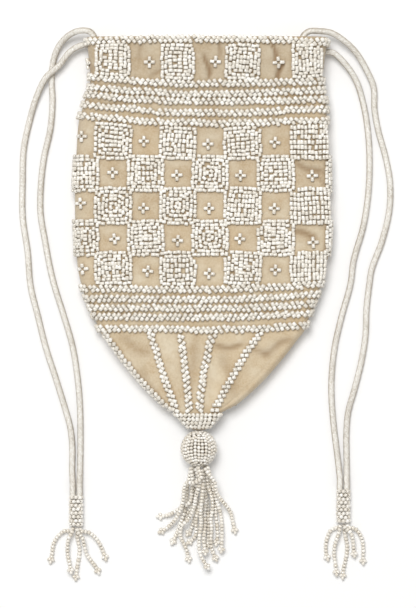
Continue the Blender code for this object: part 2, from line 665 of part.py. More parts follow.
def make_top_beadwork(material):
    """Make the band along the mouth with the row of squares that hangs from it, front and back."""
    squares = [(1, 2), (3, 4), (5, 6)]
    lines, square_cells = [], set()
    for around in (SEAM_AROUND[1], 3.66, 3.82):
        lines.append(lambda y, around=around: around - 4)
    for left, right in squares:
        square_cells.add(len(lines))
        for line in (left - 1, right - 1):
            lines.append(lambda y, x=COLUMN_LINES[line]: around_at_x(y, x))
            if line == 0:
                square_cells.add(len(lines))
                lines.append(lambda y: 0.0)
    square_cells.update((len(lines), len(lines) + 1, len(lines) + 2))
    lines.append(lambda y: around_at_x(y, COLUMN_LINES[-1]))
    for around in (1.0, 1.13, 1.27, 1.44, 1.61, 1.78):
        lines.append(lambda y, around=around: around)
    for line in range(BACK_COLUMNS + 1):
        if line % 2 == 0 and line < BACK_COLUMNS:
            square_cells.add(len(lines))
        lines.append(lambda y, line=line: 2 + line / BACK_COLUMNS)
    lines.append(lambda y: SEAM_AROUND[0])

    def straight(y, around, off):
        return skin(y, around % 4, off)

    def risen(y, around, off):
        return raised_skin(y, around % 4, off, UPPER_LIFT)

    downs = [(TOP_BAND_Y + BAND_HALF_HEIGHT, straight), (TOP_ROW_Y[0], straight), (TOP_ROW_Y[1], risen)]

    def is_beaded(row, column):
        return row == 0 or column in square_cells

    return make_bead_net("top_beadwork", lines, downs, is_beaded, (GAP, GAP + BEADWORK), True, material)


def make_cone_band(name, route, material):
    """Make a band down the cone. Its route gives a height and an around value for each station."""
    rows = []
    last = len(route) - 1
    for share in steps_between(0, last, last * 2) + [float(last)]:
        index = min(int(share), last - 1)
        y = lerp(route[index][0], route[index + 1][0], share - index)
        around = lerp(route[index][1], route[index + 1][1], share - index)
        half = lerp(BAND_HALF_HEIGHT, CONE_BAND_END_HALF, share / last)
        _, flat, radius, _, _ = section_at(y)
        on_side = int(around % 4) % 2 == 1
        around_per_length = 1 / (math.pi * radius) if on_side else 1 / (2 * flat)
        ridge = GAP + BEADWORK
        profile = ((-half, GAP), (-half * 0.5, ridge), (half * 0.5, ridge), (half, GAP), (0.0, GAP))
        rows.append([skin(y, (around + shift * around_per_length) % 4, off) for shift, off in profile])
    return loft(name, rows, material)


CONE_BAND_END_HALF = 1.3
CONE_STATIONS = tuple(CONE_TOP_Y - share * CONE_LENGTH for share in (0.0, 0.3, 0.65, 1.0))
# The x of each front band on the cone at those heights
CONE_BAND_XS = (
    (-29.0, -23.9, -18.4, -11.8),
    (-12.0, -10.5, -9.0, -7.2),
    (5.6, 1.7, -1.1, -2.3),
    (30.6, 19.0, 8.6, 3.0),
)
CONE_FOLD_AROUNDS = (3.80, 3.76, 3.70, 3.58)
CONE_BACK_AROUNDS = (
    (2.16, 2.13, 2.05, 1.86),
    (2.38, 2.36, 2.32, 2.24),
    (2.62, 2.63, 2.65, 2.68),
    (2.84, 2.87, 2.95, 3.1),
)


def make_cone_bands(material):
    """Make the bands down the cone: one on the left fold, four on the front and four on the back."""
    make_cone_band("cone_band_1", list(zip(CONE_STATIONS, CONE_FOLD_AROUNDS)), material)
    for number, xs in enumerate(CONE_BAND_XS):
        route = [(y, around_at_x(y, x)) for y, x in zip(CONE_STATIONS, xs)]
        make_cone_band(f"cone_band_{number + 2}", route, material)
    for number, arounds in enumerate(CONE_BACK_AROUNDS):
        make_cone_band(f"cone_band_{number + 6}", list(zip(CONE_STATIONS, arounds)), material)


def make_collar(material):
    """Make the rows of beads round the neck."""
    outside = []
    for row in range(COLLAR_ROWS):
        top = COLLAR_TOP_Y - row * COLLAR_ROW
        outside += [(top, GAP + BEADWORK * 0.55), (top - COLLAR_ROW / 2, GAP + BEADWORK)]
    bottom = COLLAR_TOP_Y - COLLAR_ROWS * COLLAR_ROW
    outside.append((bottom, GAP + BEADWORK * 0.55))
    inside = [(bottom, GAP), (RINGS[-2], GAP), (COLLAR_TOP_Y, GAP)]
    around = steps_between(0, 1, 3) + steps_between(1, 2, 5) + steps_between(2, 3, 3) + steps_between(3, 4, 5)
    return hoop("collar", [[skin(y, step, off) for step in around] for y, off in outside + inside], material)


# Ball and thread
BALL_LATITUDES = (76, 46, 15, -15, -46, -76)


def turned_row(radius, y, count, dip=0.0):
    """Return a ring about the ball's axis, whose odd points lie deeper by dip."""
    row = []
    for step in range(count):
        turn = 2 * math.pi * step / count
        reach = radius - (dip if step % 2 else 0.0)
        row.append(Vector((BALL_X + reach * math.cos(turn), y, BALL_RADIUS + reach * math.sin(turn))))
    return row


def make_ball(bead_material, core_material, thread_material):
    """Make the bead cover, the turned core in it and the thread that hangs them on the tip."""
    def ball_row(radius, angle, count, dip=0.0):
        turn = math.radians(angle)
        y = BALL_Y + radius * math.sin(turn)
        return turned_row(radius * math.cos(turn), y, count, dip * math.cos(turn))

    inner_radius = CORE_RADIUS + SEAT_GAP
    cover = [ball_row(BALL_RADIUS, angle, 2 * BALL_RIBS, RIB_DEPTH) for angle in BALL_LATITUDES]
    cover += [ball_row(inner_radius, angle, 2 * BALL_RIBS) for angle in reversed(BALL_LATITUDES)]
    hoop("ball_cover", cover, bead_material)

    bore = THREAD_RADIUS + SEAT_GAP
    core = [ball_row(CORE_RADIUS, angle, 16) for angle in BALL_LATITUDES]
    end_y = CORE_RADIUS * math.sin(math.radians(BALL_LATITUDES[0]))
    core += [turned_row(bore, BALL_Y - end_y, 16), turned_row(bore, BALL_Y + end_y, 16)]
    hoop("ball_core", core, core_material)

    ends = (TIP_Y - SEAT_GAP, BALL_Y - BALL_RADIUS - SEAT_GAP)
    loft("hanging_thread", [turned_row(THREAD_RADIUS, y, 8) for y in ends], thread_material)


# Strands and cords
def smooth_route(points, step):
    """Return points at even steps on a smooth curve through the given points."""
    points = [Vector(point) for point in points]
    ends = [points[0] * 2 - points[1]] + points + [points[-1] * 2 - points[-2]]
    fine = []
    for index in range(1, len(ends) - 2):
        before, start, end, after = ends[index - 1 : index + 3]
        first, middle, last = (start - before).length, (end - start).length, (after - end).length
        start_slope = ((start - before) / first + (end - start) / middle) / 2 * middle
        end_slope = ((end - start) / middle + (after - end) / last) / 2 * middle
        for part in range(12):
            share = part / 12
            fine.append(
                start * (2 * share**3 - 3 * share**2 + 1) + start_slope * (share**3 - 2 * share**2 + share)
                + end * (3 * share**2 - 2 * share**3) + end_slope * (share**3 - share**2)
            )
    fine.append(points[-1])
    length = sum((end - start).length for start, end in zip(fine, fine[1:]))
    count = max(2, round(length / step))
    spacing = length / count
    route, walked, target = [fine[0]], 0.0, spacing
    for start, end in zip(fine, fine[1:]):
        piece = (end - start).length
        while walked + piece >= target - 1e-6 and len(route) < count:
            route.append(start.lerp(end, (target - walked) / piece))
            target += spacing
        walked += piece
    return route + [fine[-1]]


def make_tube(name, route, radius, material, resolution, swells=None):
    """Make a round tube along a route, wider where swells says so."""
    curve = bpy.data.curves.new(name, "CURVE")
    curve.dimensions = "3D"
    curve.bevel_depth = radius * MM
    curve.bevel_resolution = resolution
    curve.use_fill_caps = True
    spline = curve.splines.new("POLY")
    spline.points.add(len(route) - 1)
    for index, point in enumerate(route):
        spline.points[index].co = (*(point * MM), 1.0)
        spline.points[index].radius = swells[index] if swells else 1.0
    curve.materials.append(material)
    tube = bpy.data.objects.new(name, curve)
    bpy.context.collection.objects.link(tube)
    return tube


LAY_STEP = 0.8


def strand_swell(left):
    """Return how wide a strand is at a distance left to its tip: two beads side by side, then one."""
    if left > PICOT_LENGTH or left < 0.8:
        return 1.0
    return PICOT_SWELL


def spread_along(route, widths):
    """Return points LAY_STEP or less apart on the straight pieces of a route, with their widths."""
    fine = []
    for (start, start_width), (end, end_width) in zip(zip(route, widths), zip(route[1:], widths[1:])):
        count = max(1, math.ceil((end - start).length / LAY_STEP))
        for part in range(count):
            fine.append((start.lerp(end, part / count), max(start_width, end_width)))
    fine.append((route[-1], widths[-1]))
    return fine


def lay_strand(start, route, below):
    """Return a strand's points and widths, laid on the table and over the strands in below."""
    flat = smooth_route([(start[0], start[1], 0.0)] + [(x, y, 0.0) for x, y in route], LAY_STEP)
    total = LAY_STEP * (len(flat) - 1)
    lengths = [total * index / (len(flat) - 1) for index in range(len(flat))]
    widths = [STRAND_RADIUS * strand_swell(total - length) for length in lengths]
    stride = max(1, round(STRAND_POINT_STEP / LAY_STEP))
    tail = max(len(flat) - 1 - round(PICOT_LENGTH / LAY_STEP), 1)
    chosen = [0] + list(range(2, tail, stride)) + [tail + 1, len(flat) - 2, len(flat) - 1]
    needed = []
    for (point, width), length in zip(spread_along([flat[i] for i in chosen], [widths[i] for i in chosen]),
                                      piece_lengths([flat[i] for i in chosen])):
        share = min(length / STRAND_FALL, 1.0)
        fall = 1 - share * share * (3 - 2 * share)
        height = max(width, STRAND_RADIUS + (start[2] - STRAND_RADIUS) * fall)
        for other, other_width in below:
            reach = width + other_width + STRAND_GAP
            apart = math.hypot(point.x - other.x, point.y - other.y)
            if apart < reach:
                height = max(height, other.z + math.sqrt(reach**2 - apart**2))
        needed.append((length, height))
    laid = []
    for index in chosen:
        slack = STRAND_POINT_STEP / 2
        length = lengths[index]
        height = max(z - STRAND_SLOPE * max(abs(length - other) - slack, 0.0) for other, z in needed)
        laid.append(Vector((flat[index].x, flat[index].y, height)))
    return laid, [widths[index] for index in chosen]


def piece_lengths(route):
    """Return the length walked at each of spread_along's points."""
    lengths, walked = [], 0.0
    for start, end in zip(route, route[1:]):
        piece = (end - start).length
        count = max(1, math.ceil(piece / LAY_STEP))
        lengths += [walked + piece * part / count for part in range(count)]
        walked += piece
    return lengths + [walked]


def moved(route, x, y):
    """Return a flat route's points moved by x and y."""
    return [(x + point_x, y + point_y) for point_x, point_y in route]


def make_strands(names, starts, routes, material):
    """Lay bead strands one after the other, each with a cluster of end beads."""
    below = []
    for name, start, route in zip(names, starts, routes):
        points, widths = lay_strand(start, route, below)
        make_tube(name, points, STRAND_RADIUS, material, 1, [width / STRAND_RADIUS for width in widths])
        below += spread_along(points, widths)


def make_tassel(material):
    """Make the strands that hang from under the ball."""
    starts = []
    for distance, angle in TASSEL_STARTS:
        turn = math.radians(angle)
        reach = BALL_RADIUS + STRAND_RADIUS * 0.7
        y = BALL_Y - math.sqrt(reach**2 - distance**2)
        starts.append((BALL_X + distance * math.cos(turn), y, BALL_RADIUS + distance * math.sin(turn)))
    names = [f"tassel_strand_{number + 1}" for number in range(len(TASSEL_ROUTES))]
    make_strands(names, starts, [moved(route, BALL_X, BALL_Y) for route in TASSEL_ROUTES], material)


def make_fringe(side, sleeve, routes, material):
    """Make the five short strands under a sleeve."""
    end = moved(sleeve, 0.0, RIM_Y)[1]
    starts = []
    for number in range(len(routes)):
        turn = math.radians(180 + 36 + 72 * number)
        x = end[0] + FRINGE_START_RADIUS * math.cos(turn)
        starts.append((x, end[1] - 3 * SEAT_GAP, SLEEVE_RADIUS + FRINGE_START_RADIUS * math.sin(turn)))
    order = sorted(range(len(starts)), key=lambda index: starts[index][2])
    places = sorted(range(len(starts)), key=lambda index: starts[index][0])
    route_of = {}
    for number, place in enumerate(places):
        below_sleeve = (starts[place][0], end[1] - STRAND_DIAMETER)
        route_of[place] = [below_sleeve] + moved(routes[number], 0.0, RIM_Y)
    names = [f"{side}_fringe_{number + 1}" for number in range(len(routes))]
    make_strands(names, [starts[index] for index in order], [route_of[index] for index in order], material)


def make_sleeve(name, sleeve, material):
    """Make the beaded sleeve that holds the two ends of a drawstring."""
    (x, top), (_, bottom) = moved(sleeve, 0.0, RIM_Y)
    rows = []
    row_length = (top - bottom) / SLEEVE_ROWS
    for row in range(SLEEVE_ROWS):
        y = top - row * row_length
        rows += [(SLEEVE_RADIUS - 0.35, y), (SLEEVE_RADIUS, y - row_length / 2)]
    rows.append((SLEEVE_RADIUS - 0.35, bottom))
    rings = []
    for radius, y in rows:
        ring = []
        for step in range(12):
            turn = math.pi / 6 * step
            ring.append(Vector((x + radius * math.cos(turn), y, SLEEVE_RADIUS + radius * math.sin(turn))))
        rings.append(ring)
    return loft(name, rings, material)


def hem_loop(y, start, end):
    """Return a route in the casing from one around value to another."""
    count = 22
    route = []
    for step in range(count + 1):
        around = lerp(start, end, step / count) % 4
        in_fold = math.sqrt(abs(math.sin(math.pi * around))) if int(around) % 2 else 0.0
        route.append(skin(y, around, -CORD_OFF - FOLD_CLEARANCE * in_fold))
    return route


def on_table(route, heights):
    """Return a route's points with the heights given first, and on the table after them."""
    points = []
    for index, (x, y) in enumerate(moved(route, 0.0, RIM_Y)):
        z = heights[index] if index < len(heights) else CORD_RADIUS
        points.append(Vector((x, y, max(z, CORD_RADIUS))))
    return points


def sleeve_entry(sleeve, side):
    """Return the last two points of a cord that butts on the sleeve, on one side of its axis."""
    top_x, top_y = moved(sleeve, 0.0, RIM_Y)[0]
    x = top_x + side * (CORD_RADIUS + 0.5 * SEAT_GAP)
    y = top_y + SEAT_GAP
    return [Vector((x, y + 5.0, SLEEVE_RADIUS - 0.3)), Vector((x, y, SLEEVE_RADIUS))]


LEFT_HEM_AROUND = (HEM_EDGES[0][SEWN], HEM_EDGES[3][SEWN])
RIGHT_HEM_AROUND = (HEM_EDGES[1][SEWN], HEM_EDGES[2][SEWN])


def loop_end(last, before):
    """Return where a free run starts past a loop's end, and the direction it starts in."""
    along = (last - before).normalized()
    return last + along * SEAT_GAP, along


def make_cord(name, route, step, material):
    """Make a free cord on a smooth curve that never dips under the table."""
    smooth = smooth_route(route, step)
    smooth.insert(1, route[1])
    for point in smooth:
        point.z = max(point.z, CORD_RADIUS)
    return make_tube(name, smooth, CORD_RADIUS, material, 2)


def make_drawstrings(material):
    """Make both drawstrings: the loop of each in the casing, and its two free runs."""
    left_loop = hem_loop(UPPER_CORD_Y, *LEFT_HEM_AROUND)
    right_loop = hem_loop(LOWER_CORD_Y, RIGHT_HEM_AROUND[0], RIGHT_HEM_AROUND[1] - 4)
    make_tube("left_drawstring_hem", left_loop, CORD_RADIUS, material, 2)
    make_tube("right_drawstring_hem", right_loop, CORD_RADIUS, material, 2)

    middle_z = BACK_HEIGHT + MOUTH_THICKNESS / 2
    back_z = BACK_HEIGHT + CORD_OFF
    left_edge, right_edge = outline_at(RIM_Y)[:2]
    hole_rise = Vector((0.0, -0.3, 1.0))
    left_in = Vector((left_edge + HOLE_RUN, UPPER_CORD_Y, back_z))
    left_out = Vector((left_edge - HOLE_REACH, UPPER_CORD_Y, back_z)) + hole_rise
    right_in = Vector((right_edge - HOLE_RUN, LOWER_CORD_Y, back_z))
    right_out = Vector((right_edge + HOLE_REACH, LOWER_CORD_Y, back_z)) + hole_rise

    start, along = loop_end(left_loop[-1], left_loop[-2])
    outer = [start, start + along * 2.5, left_in, left_in.lerp(left_out, 0.5), left_out]
    outer += [Vector((left_edge - HOLE_RUN + 1.0, LOWER_CORD_Y + 0.7, back_z + 1.0))]
    outer += on_table(LEFT_OUTER_ROUTE, (6.0, 5.7, 3.4)) + sleeve_entry(LEFT_SLEEVE, -1)
    make_cord("left_drawstring_outer", outer, CORD_POINT_STEP, material)

    start, along = loop_end(left_loop[0], left_loop[1])
    inner = [
        start,
        start + along * 2.5,
        start + along * 5.0,
        Vector((LEFT_MOUTH_X + 3.0, UPPER_CORD_Y - 0.3, middle_z + 1.8)),
        Vector((LEFT_MOUTH_X + 0.5, UPPER_CORD_Y + 0.8, middle_z + 0.2)),
        Vector((LEFT_MOUTH_X, RIM_Y + 0.6, middle_z)),
        Vector((LEFT_MOUTH_X - 2.4, RIM_Y + 3.3, middle_z - 0.5)),
        Vector((LEFT_MOUTH_X - 8.5, RIM_Y + 3.8, middle_z - 1.8)),
    ]
    inner += on_table(LEFT_INNER_ROUTE, (7.4, 4.6, 2.5)) + sleeve_entry(LEFT_SLEEVE, 1)
    make_cord("left_drawstring_inner", inner, CORD_POINT_STEP * 0.75, material)

    start, along = loop_end(right_loop[0], right_loop[1])
    outer = [
        start,
        start + along * 2.5,
        start + along * 4.6 + Vector((0.0, 0.0, -1.2)),
        Vector((RIGHT_MOUTH_X - 1.2, LOWER_CORD_Y + 0.4, middle_z + 1.0)),
        Vector((RIGHT_MOUTH_X, LOWER_CORD_Y + 3.6, middle_z)),
        Vector((RIGHT_MOUTH_X + 0.4, RIM_Y + 0.6, middle_z)),
        Vector((RIGHT_MOUTH_X + 3.4, RIM_Y + 3.3, middle_z - 0.3)),
        Vector((RIGHT_MOUTH_X + 9.8, RIM_Y + 3.6, middle_z - 1.2)),
    ]
    outer += on_table(RIGHT_OUTER_ROUTE, (9.6, 8.0, 6.0, 4.2, 2.6)) + sleeve_entry(RIGHT_SLEEVE, 1)
    make_cord("right_drawstring_outer", outer, CORD_POINT_STEP * 0.75, material)

    start, along = loop_end(right_loop[-1], right_loop[-2])
    inner = [start, start + along * 2.5, right_in, right_in.lerp(right_out, 0.5), right_out]
    inner += on_table(RIGHT_INNER_ROUTE, (5.8, 3.4, 1.9)) + sleeve_entry(RIGHT_SLEEVE, -1)
    make_cord("right_drawstring_inner", inner, CORD_POINT_STEP, material)

    radius = CORD_RADIUS + SEAT_GAP + 0.2
    beyond = 1.15
    return make_cutter("cord_holes", [
        hole_piece(left_in, left_in.lerp(left_out, beyond), radius),
        hole_piece(right_in, right_in.lerp(right_out, beyond), radius),
    ])


clear_scene()
PLAIN_MATERIALS = {
    "suede": make_material("suede", SUEDE_COLOR, 0.95),
    "beads": make_material("pearl_beads", PEARL_COLOR, 0.3),
    "satin": make_material("satin_cord", SATIN_COLOR, 0.5),
    "core": make_material("wooden_core", CORE_COLOR, 0.7),
}
SUEDE_FINISH, BEAD_FINISH = PLAIN_MATERIALS["suede"], PLAIN_MATERIALS["beads"]
SATIN_FINISH, CORE_FINISH = PLAIN_MATERIALS["satin"], PLAIN_MATERIALS["core"]

body = make_bag_body(SUEDE_FINISH)
make_top_beadwork(BEAD_FINISH)
for number, height in enumerate(UPPER_BANDS):
    make_band(f"upper_band_{number + 1}", height, UPPER_LIFT, BEAD_FINISH)
make_checker_front(BEAD_FINISH)
make_checker_back(BEAD_FINISH)
for number, height in enumerate(LOWER_BANDS):
    make_band(f"lower_band_{number + 1}", height, LOWER_LIFT, BEAD_FINISH)
make_cone_bands(BEAD_FINISH)
make_collar(BEAD_FINISH)
make_ball(BEAD_FINISH, CORE_FINISH, SATIN_FINISH)
make_tassel(BEAD_FINISH)
make_sleeve("left_sleeve", LEFT_SLEEVE, BEAD_FINISH)
make_sleeve("right_sleeve", RIGHT_SLEEVE, BEAD_FINISH)
make_fringe("left", LEFT_SLEEVE, LEFT_FRINGE_ROUTES, BEAD_FINISH)
make_fringe("right", RIGHT_SLEEVE, RIGHT_FRINGE_ROUTES, BEAD_FINISH)
holes = make_drawstrings(SATIN_FINISH)
apply_cutter(body, holes, "DIFFERENCE")
apply_cutter(body, make_crosses(), "UNION")
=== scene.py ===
"""Looks of the beaded medicine bag: suede, sewn pearl beads, bead strands and satin drawstrings.

Lengths are in millimetres in the object's own frame, and MM turns them into metres. The bag
lies on its back, its mouth points to +Y and its tassel to -Y.
A place on the bag is given by its height y and by s, the length walked across the front from
x = 0 and on round the side folds. off is how far a point stands off the suede.
"""
import math
import random
from itertools import product

import bmesh
import bpy
from mathutils import Matrix, Vector, noise


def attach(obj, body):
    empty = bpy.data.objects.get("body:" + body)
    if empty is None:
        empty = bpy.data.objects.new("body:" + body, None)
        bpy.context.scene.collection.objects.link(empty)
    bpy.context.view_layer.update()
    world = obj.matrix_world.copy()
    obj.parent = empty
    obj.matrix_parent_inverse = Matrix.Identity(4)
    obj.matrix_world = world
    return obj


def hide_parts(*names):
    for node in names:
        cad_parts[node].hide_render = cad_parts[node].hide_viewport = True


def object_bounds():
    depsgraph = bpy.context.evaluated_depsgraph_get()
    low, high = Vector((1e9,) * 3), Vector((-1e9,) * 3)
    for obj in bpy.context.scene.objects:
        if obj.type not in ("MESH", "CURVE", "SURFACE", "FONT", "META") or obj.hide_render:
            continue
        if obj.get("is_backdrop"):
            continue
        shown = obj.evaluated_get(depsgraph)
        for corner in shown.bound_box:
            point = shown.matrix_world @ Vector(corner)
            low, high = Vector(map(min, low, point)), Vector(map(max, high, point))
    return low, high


MM = 0.001
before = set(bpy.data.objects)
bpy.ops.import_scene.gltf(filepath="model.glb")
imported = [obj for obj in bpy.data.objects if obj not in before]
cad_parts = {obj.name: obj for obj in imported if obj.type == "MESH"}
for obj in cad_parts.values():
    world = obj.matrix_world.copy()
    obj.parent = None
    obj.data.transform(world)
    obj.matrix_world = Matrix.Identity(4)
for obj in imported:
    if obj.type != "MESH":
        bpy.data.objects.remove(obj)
cad_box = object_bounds()

# Sizes that the solids share
SUEDE = 1.2             # thickness of the bag's wall
HEM_STRIP = 0.9         # thickness of the turned-in hem
CORD_DIAMETER = 3.4
CASING_PLAY = 0.9       # spare depth for a cord in the casing
MOUTH_GAP = 7.4         # open space between the two hems
SEAT_GAP = 0.3          # between pieces that butt or seat on each other
BODY_THICKNESS = 14.0
CONE_THICKNESS = 12.0
CROWN = 1.2             # how far the front falls from its middle to its edges
BACK_HEIGHT = 2.3       # from the table to the suede of the back
BALL_RADIUS = 10.1
CORD_RADIUS = CORD_DIAMETER / 2
HEM_OFF = SUEDE + CORD_DIAMETER + CASING_PLAY + HEM_STRIP
MOUTH_THICKNESS = 2 * HEM_OFF + MOUTH_GAP

# Heights along the bag
RIM_Y = 147.6
RIM_ROUND = 0.9
CASING_TOP_Y = RIM_Y - SUEDE
STITCH_Y = 136.2
TOP_BAND_Y = 145.2
TOP_ROW_Y = (143.25, 124.35)
UPPER_BANDS = (122.05, 116.75, 112.25, 106.35, 100.55)
ROW_LINES = (98.25, 81.75, 64.15, 46.25, 29.05, 11.75)
LOWER_BANDS = (9.45, 3.95, -1.05, -5.95, -12.55)
CONE_TOP_Y = -15.2
CONE_LENGTH = 43.0
COLLAR_TOP_Y = -58.9
TIP_Y = -67.65
BALL_X, BALL_Y = -2.0, -78.05

# How far bands rise at the left and right edges
UPPER_LIFT = (3.4, 1.3)
LOWER_LIFT = (0.5, 2.5)
MOUTH_LIFT = (-0.9, -1.2)
NO_LIFT = (0.0, 0.0)

# The suede's outline: height, left edge, right edge, thickness, height of its back
OUTLINE = (
    (RIM_Y, -63.8, 68.8, MOUTH_THICKNESS, BACK_HEIGHT),
    (STITCH_Y, -62.6, 67.4, MOUTH_THICKNESS - 1.8, BACK_HEIGHT),
    (UPPER_BANDS[0], -61.7, 66.0, BODY_THICKNESS + 1.6, BACK_HEIGHT),
    (UPPER_BANDS[2], -64.9, 67.8, BODY_THICKNESS, BACK_HEIGHT),
    (ROW_LINES[0], -68.3, 68.6, BODY_THICKNESS, BACK_HEIGHT),
    (ROW_LINES[2], -70.0, 70.0, BODY_THICKNESS, BACK_HEIGHT),
    (ROW_LINES[4], -69.2, 69.2, BODY_THICKNESS, BACK_HEIGHT),
    (ROW_LINES[5], -66.4, 65.2, BODY_THICKNESS - 0.8, BACK_HEIGHT),
    (LOWER_BANDS[2], -61.8, 60.5, BODY_THICKNESS - 1.4, BACK_HEIGHT),
    (LOWER_BANDS[4], -57.2, 56.4, CONE_THICKNESS, BACK_HEIGHT),
    (CONE_TOP_Y, -55.7, 54.9, CONE_THICKNESS, BACK_HEIGHT),
    (CONE_TOP_Y - 0.53 * CONE_LENGTH, -36.8, 35.8, CONE_THICKNESS - 1.0, BACK_HEIGHT + 0.9),
    (CONE_TOP_Y - 0.88 * CONE_LENGTH, -22.2, 20.0, CONE_THICKNESS - 1.8, BACK_HEIGHT + 2.4),
    (COLLAR_TOP_Y, -14.4, 9.8, CONE_THICKNESS - 2.6, BACK_HEIGHT + 3.1),
    (COLLAR_TOP_Y - 3.0, -11.2, 6.6, CONE_THICKNESS - 3.2, BACK_HEIGHT + 3.4),
    (TIP_Y, -5.4, 1.4, 6.0, BALL_RADIUS - 3.0),
)

# Columns of the pattern, as x on the front and as how far around the bag they lie past it: from 0
# to 1 over the front, 1 to 2 over the right fold, 2 to 3 over the back and 3 to 4 over the left fold
COLUMN_LINES = (-58.0, -39.9, -22.3, -4.7, 12.9, 31.1, 49.2)
RIGHT_COLUMN_AROUND = 1.26      # the last column line of the front, on the right fold
BACK_EDGE_AROUND = 1.97         # where the front's last column ends
BACK_COLUMNS = 7
SEAM_AROUND = (3.05, 3.5)       # the plain strip with the bag's seam
CORNER_LAP = 2.5                # how far neighbouring squares lap at their corners

# Beads: a sewn bead's length along its thread and width, and how far apart rows and stitches lie
BEAD_LENGTH = 2.4
BEAD_WIDTH = 2.02
BEAD_PITCH = 2.52       # from bead to bead along a row
ROW_SPACING = 1.95
BAND_STITCH = 2.8       # from pair to pair along a band
BAND_BEAD_LENGTH = 2.3
BAND_BEAD_WIDTH = 2.25
BAND_SLANT = math.radians(50)
STRAND_BEAD = 2.42
STRAND_PITCH = 1.88
TOO_CLOSE = 1.55        # a bead nearer than this to one already sewn is left out


def lerp(low, high, share):
    """Return the value a share of the way from low to high."""
    return low + (high - low) * share


def smooth_step(low, high, value):
    """Return 0 below low and 1 above high, with a smooth change between them."""
    share = min(max((value - low) / (high - low), 0.0), 1.0)
    return share * share * (3 - 2 * share)


def curve_between(start, start_slope, end, end_slope, share):
    """Return what lies a share of the way along a smooth curve between two ends with their slopes."""
    return (
        start * (2 * share**3 - 3 * share**2 + 1) + start_slope * (share**3 - 2 * share**2 + share)
        + end * (3 * share**2 - 2 * share**3) + end_slope * (share**3 - share**2)
    )


# The bag's surface
def outline_at(y):
    """Return left edge, right edge, thickness and back height on the smooth outline."""
    y = min(max(y, OUTLINE[-1][0]), OUTLINE[0][0])
    index = next(i for i in range(len(OUTLINE) - 1) if y >= OUTLINE[i + 1][0])
    above, below = OUTLINE[index], OUTLINE[index + 1]
    before, after = OUTLINE[max(index - 1, 0)], OUTLINE[min(index + 2, len(OUTLINE) - 1)]
    span = below[0] - above[0]
    share = (y - above[0]) / span
    values = []
    for column in range(1, 5):
        slope_above = (below[column] - before[column]) / (below[0] - before[0]) * span
        slope_below = (after[column] - above[column]) / (after[0] - above[0]) * span
        values.append(curve_between(above[column], slope_above, below[column], slope_below, share))
    return values


def section_at(y):
    """Return the middle x, the flat half width, the side radius, the back height and the crown."""
    left, right, thickness, back = outline_at(y)
    crown = CROWN * thickness / BODY_THICKNESS
    half_width = (right - left) / 2
    radius = min((thickness - crown) / 2, half_width - 0.4)
    return (left + right) / 2, half_width - radius, radius, back, crown


# Wrinkles on the front: middle x, middle y, direction in degrees, half length, half width, depth
WRINKLES = (
    (9.6, 141.0, 78, 7.5, 1.1, 0.75),
    (2.4, 131.2, 99, 9.5, 1.4, 0.95),
    (7.5, 128.5, 70, 7.0, 1.8, -0.35),
    (39.0, 138.6, 105, 8.5, 1.2, 1.1),
    (42.4, 128.2, 68, 8.0, 1.5, 1.1),
    (45.6, 134.0, 95, 8.0, 1.8, -0.45),
    (-25.5, 127.5, 40, 6.0, 1.4, 0.45),
    (-34.5, 139.0, 70, 6.0, 1.5, 0.35),
    (-63.0, 128.0, 60, 7.0, 1.5, 0.5),
    (59.0, 75.6, -21, 12.0, 1.8, 0.8),
    (65.3, 69.6, -63, 5.5, 1.1, 0.6),
    (55.8, 39.8, -10, 10.0, 1.8, 0.82),
    (63.0, 45.2, 8, 9.0, 2.0, 0.5),
    (-56.0, 20.0, -50, 8.0, 1.6, 0.4),
    (14.0, -21.8, 2, 12.0, 1.7, 0.7),
    (31.0, -24.9, -14, 9.0, 2.0, 0.5),
    (41.5, -21.4, 26, 12.0, 2.2, 0.6),
    (-28.0, -45.0, -62, 16.0, 3.0, 0.35),
    (-6.0, -33.0, 78, 20.0, 3.6, 0.3),
    (14.5, -38.0, 108, 18.0, 3.4, 0.35),
    (-37.0, -22.0, -30, 13.0, 3.0, 0.3),
    (-55.0, 110.5, -4, 16.0, 1.9, 0.5),
    (10.0, 119.2, 0, 20.0, 1.3, 0.35),
)
WRINKLE_SWAY = 0.8      # how far a wrinkle strays from its straight line
BANK_SHARE = 0.45       # how high the suede stands beside a wrinkle, as a share of the wrinkle's depth
BANK_OFF = 1.7          # how far from its middle it stands highest, in half widths


def wrinkle_depth(x, y):
    """Return how far the wrinkles pull the front in at x and y."""
    depth = 0.0
    for middle_x, middle_y, degrees, length, width, size in WRINKLES:
        turn = math.radians(degrees)
        along = (x - middle_x) * math.cos(turn) + (y - middle_y) * math.sin(turn)
        if abs(along) > length:
            continue
        across = (y - middle_y) * math.cos(turn) - (x - middle_x) * math.sin(turn)
        across += WRINKLE_SWAY * math.sin(along * 0.35 + middle_x)
        if abs(across) > 3 * width:
            continue
        shape = math.exp(-((across / width) ** 2))
        shape -= BANK_SHARE * math.exp(-(((across - BANK_OFF * width) / width) ** 2))
        depth += size * shape * (1 - smooth_step(0.4 * length, length, abs(along)))
    return depth


# The suede's soft swells: the height and the width of the broad ones and the fine ones
SWELL_HEIGHTS = (0.5, 0.2)
SWELL_WIDTHS = (26, 9)
# The small gathers that run down the cone to the collar
GATHER_DEPTH = 0.35
GATHER_TURNS = 19
GATHERS_MEET = (-2.4, TIP_Y - 14)
# The sewn line inside the cone's right edge
SEWN_LINE_DEPTH = 0.35
SEWN_LINE_INSIDE = 4.2
SEWN_LINE_WIDTH = 0.8
SEWN_LINE_TOP_Y = CONE_TOP_Y - 2


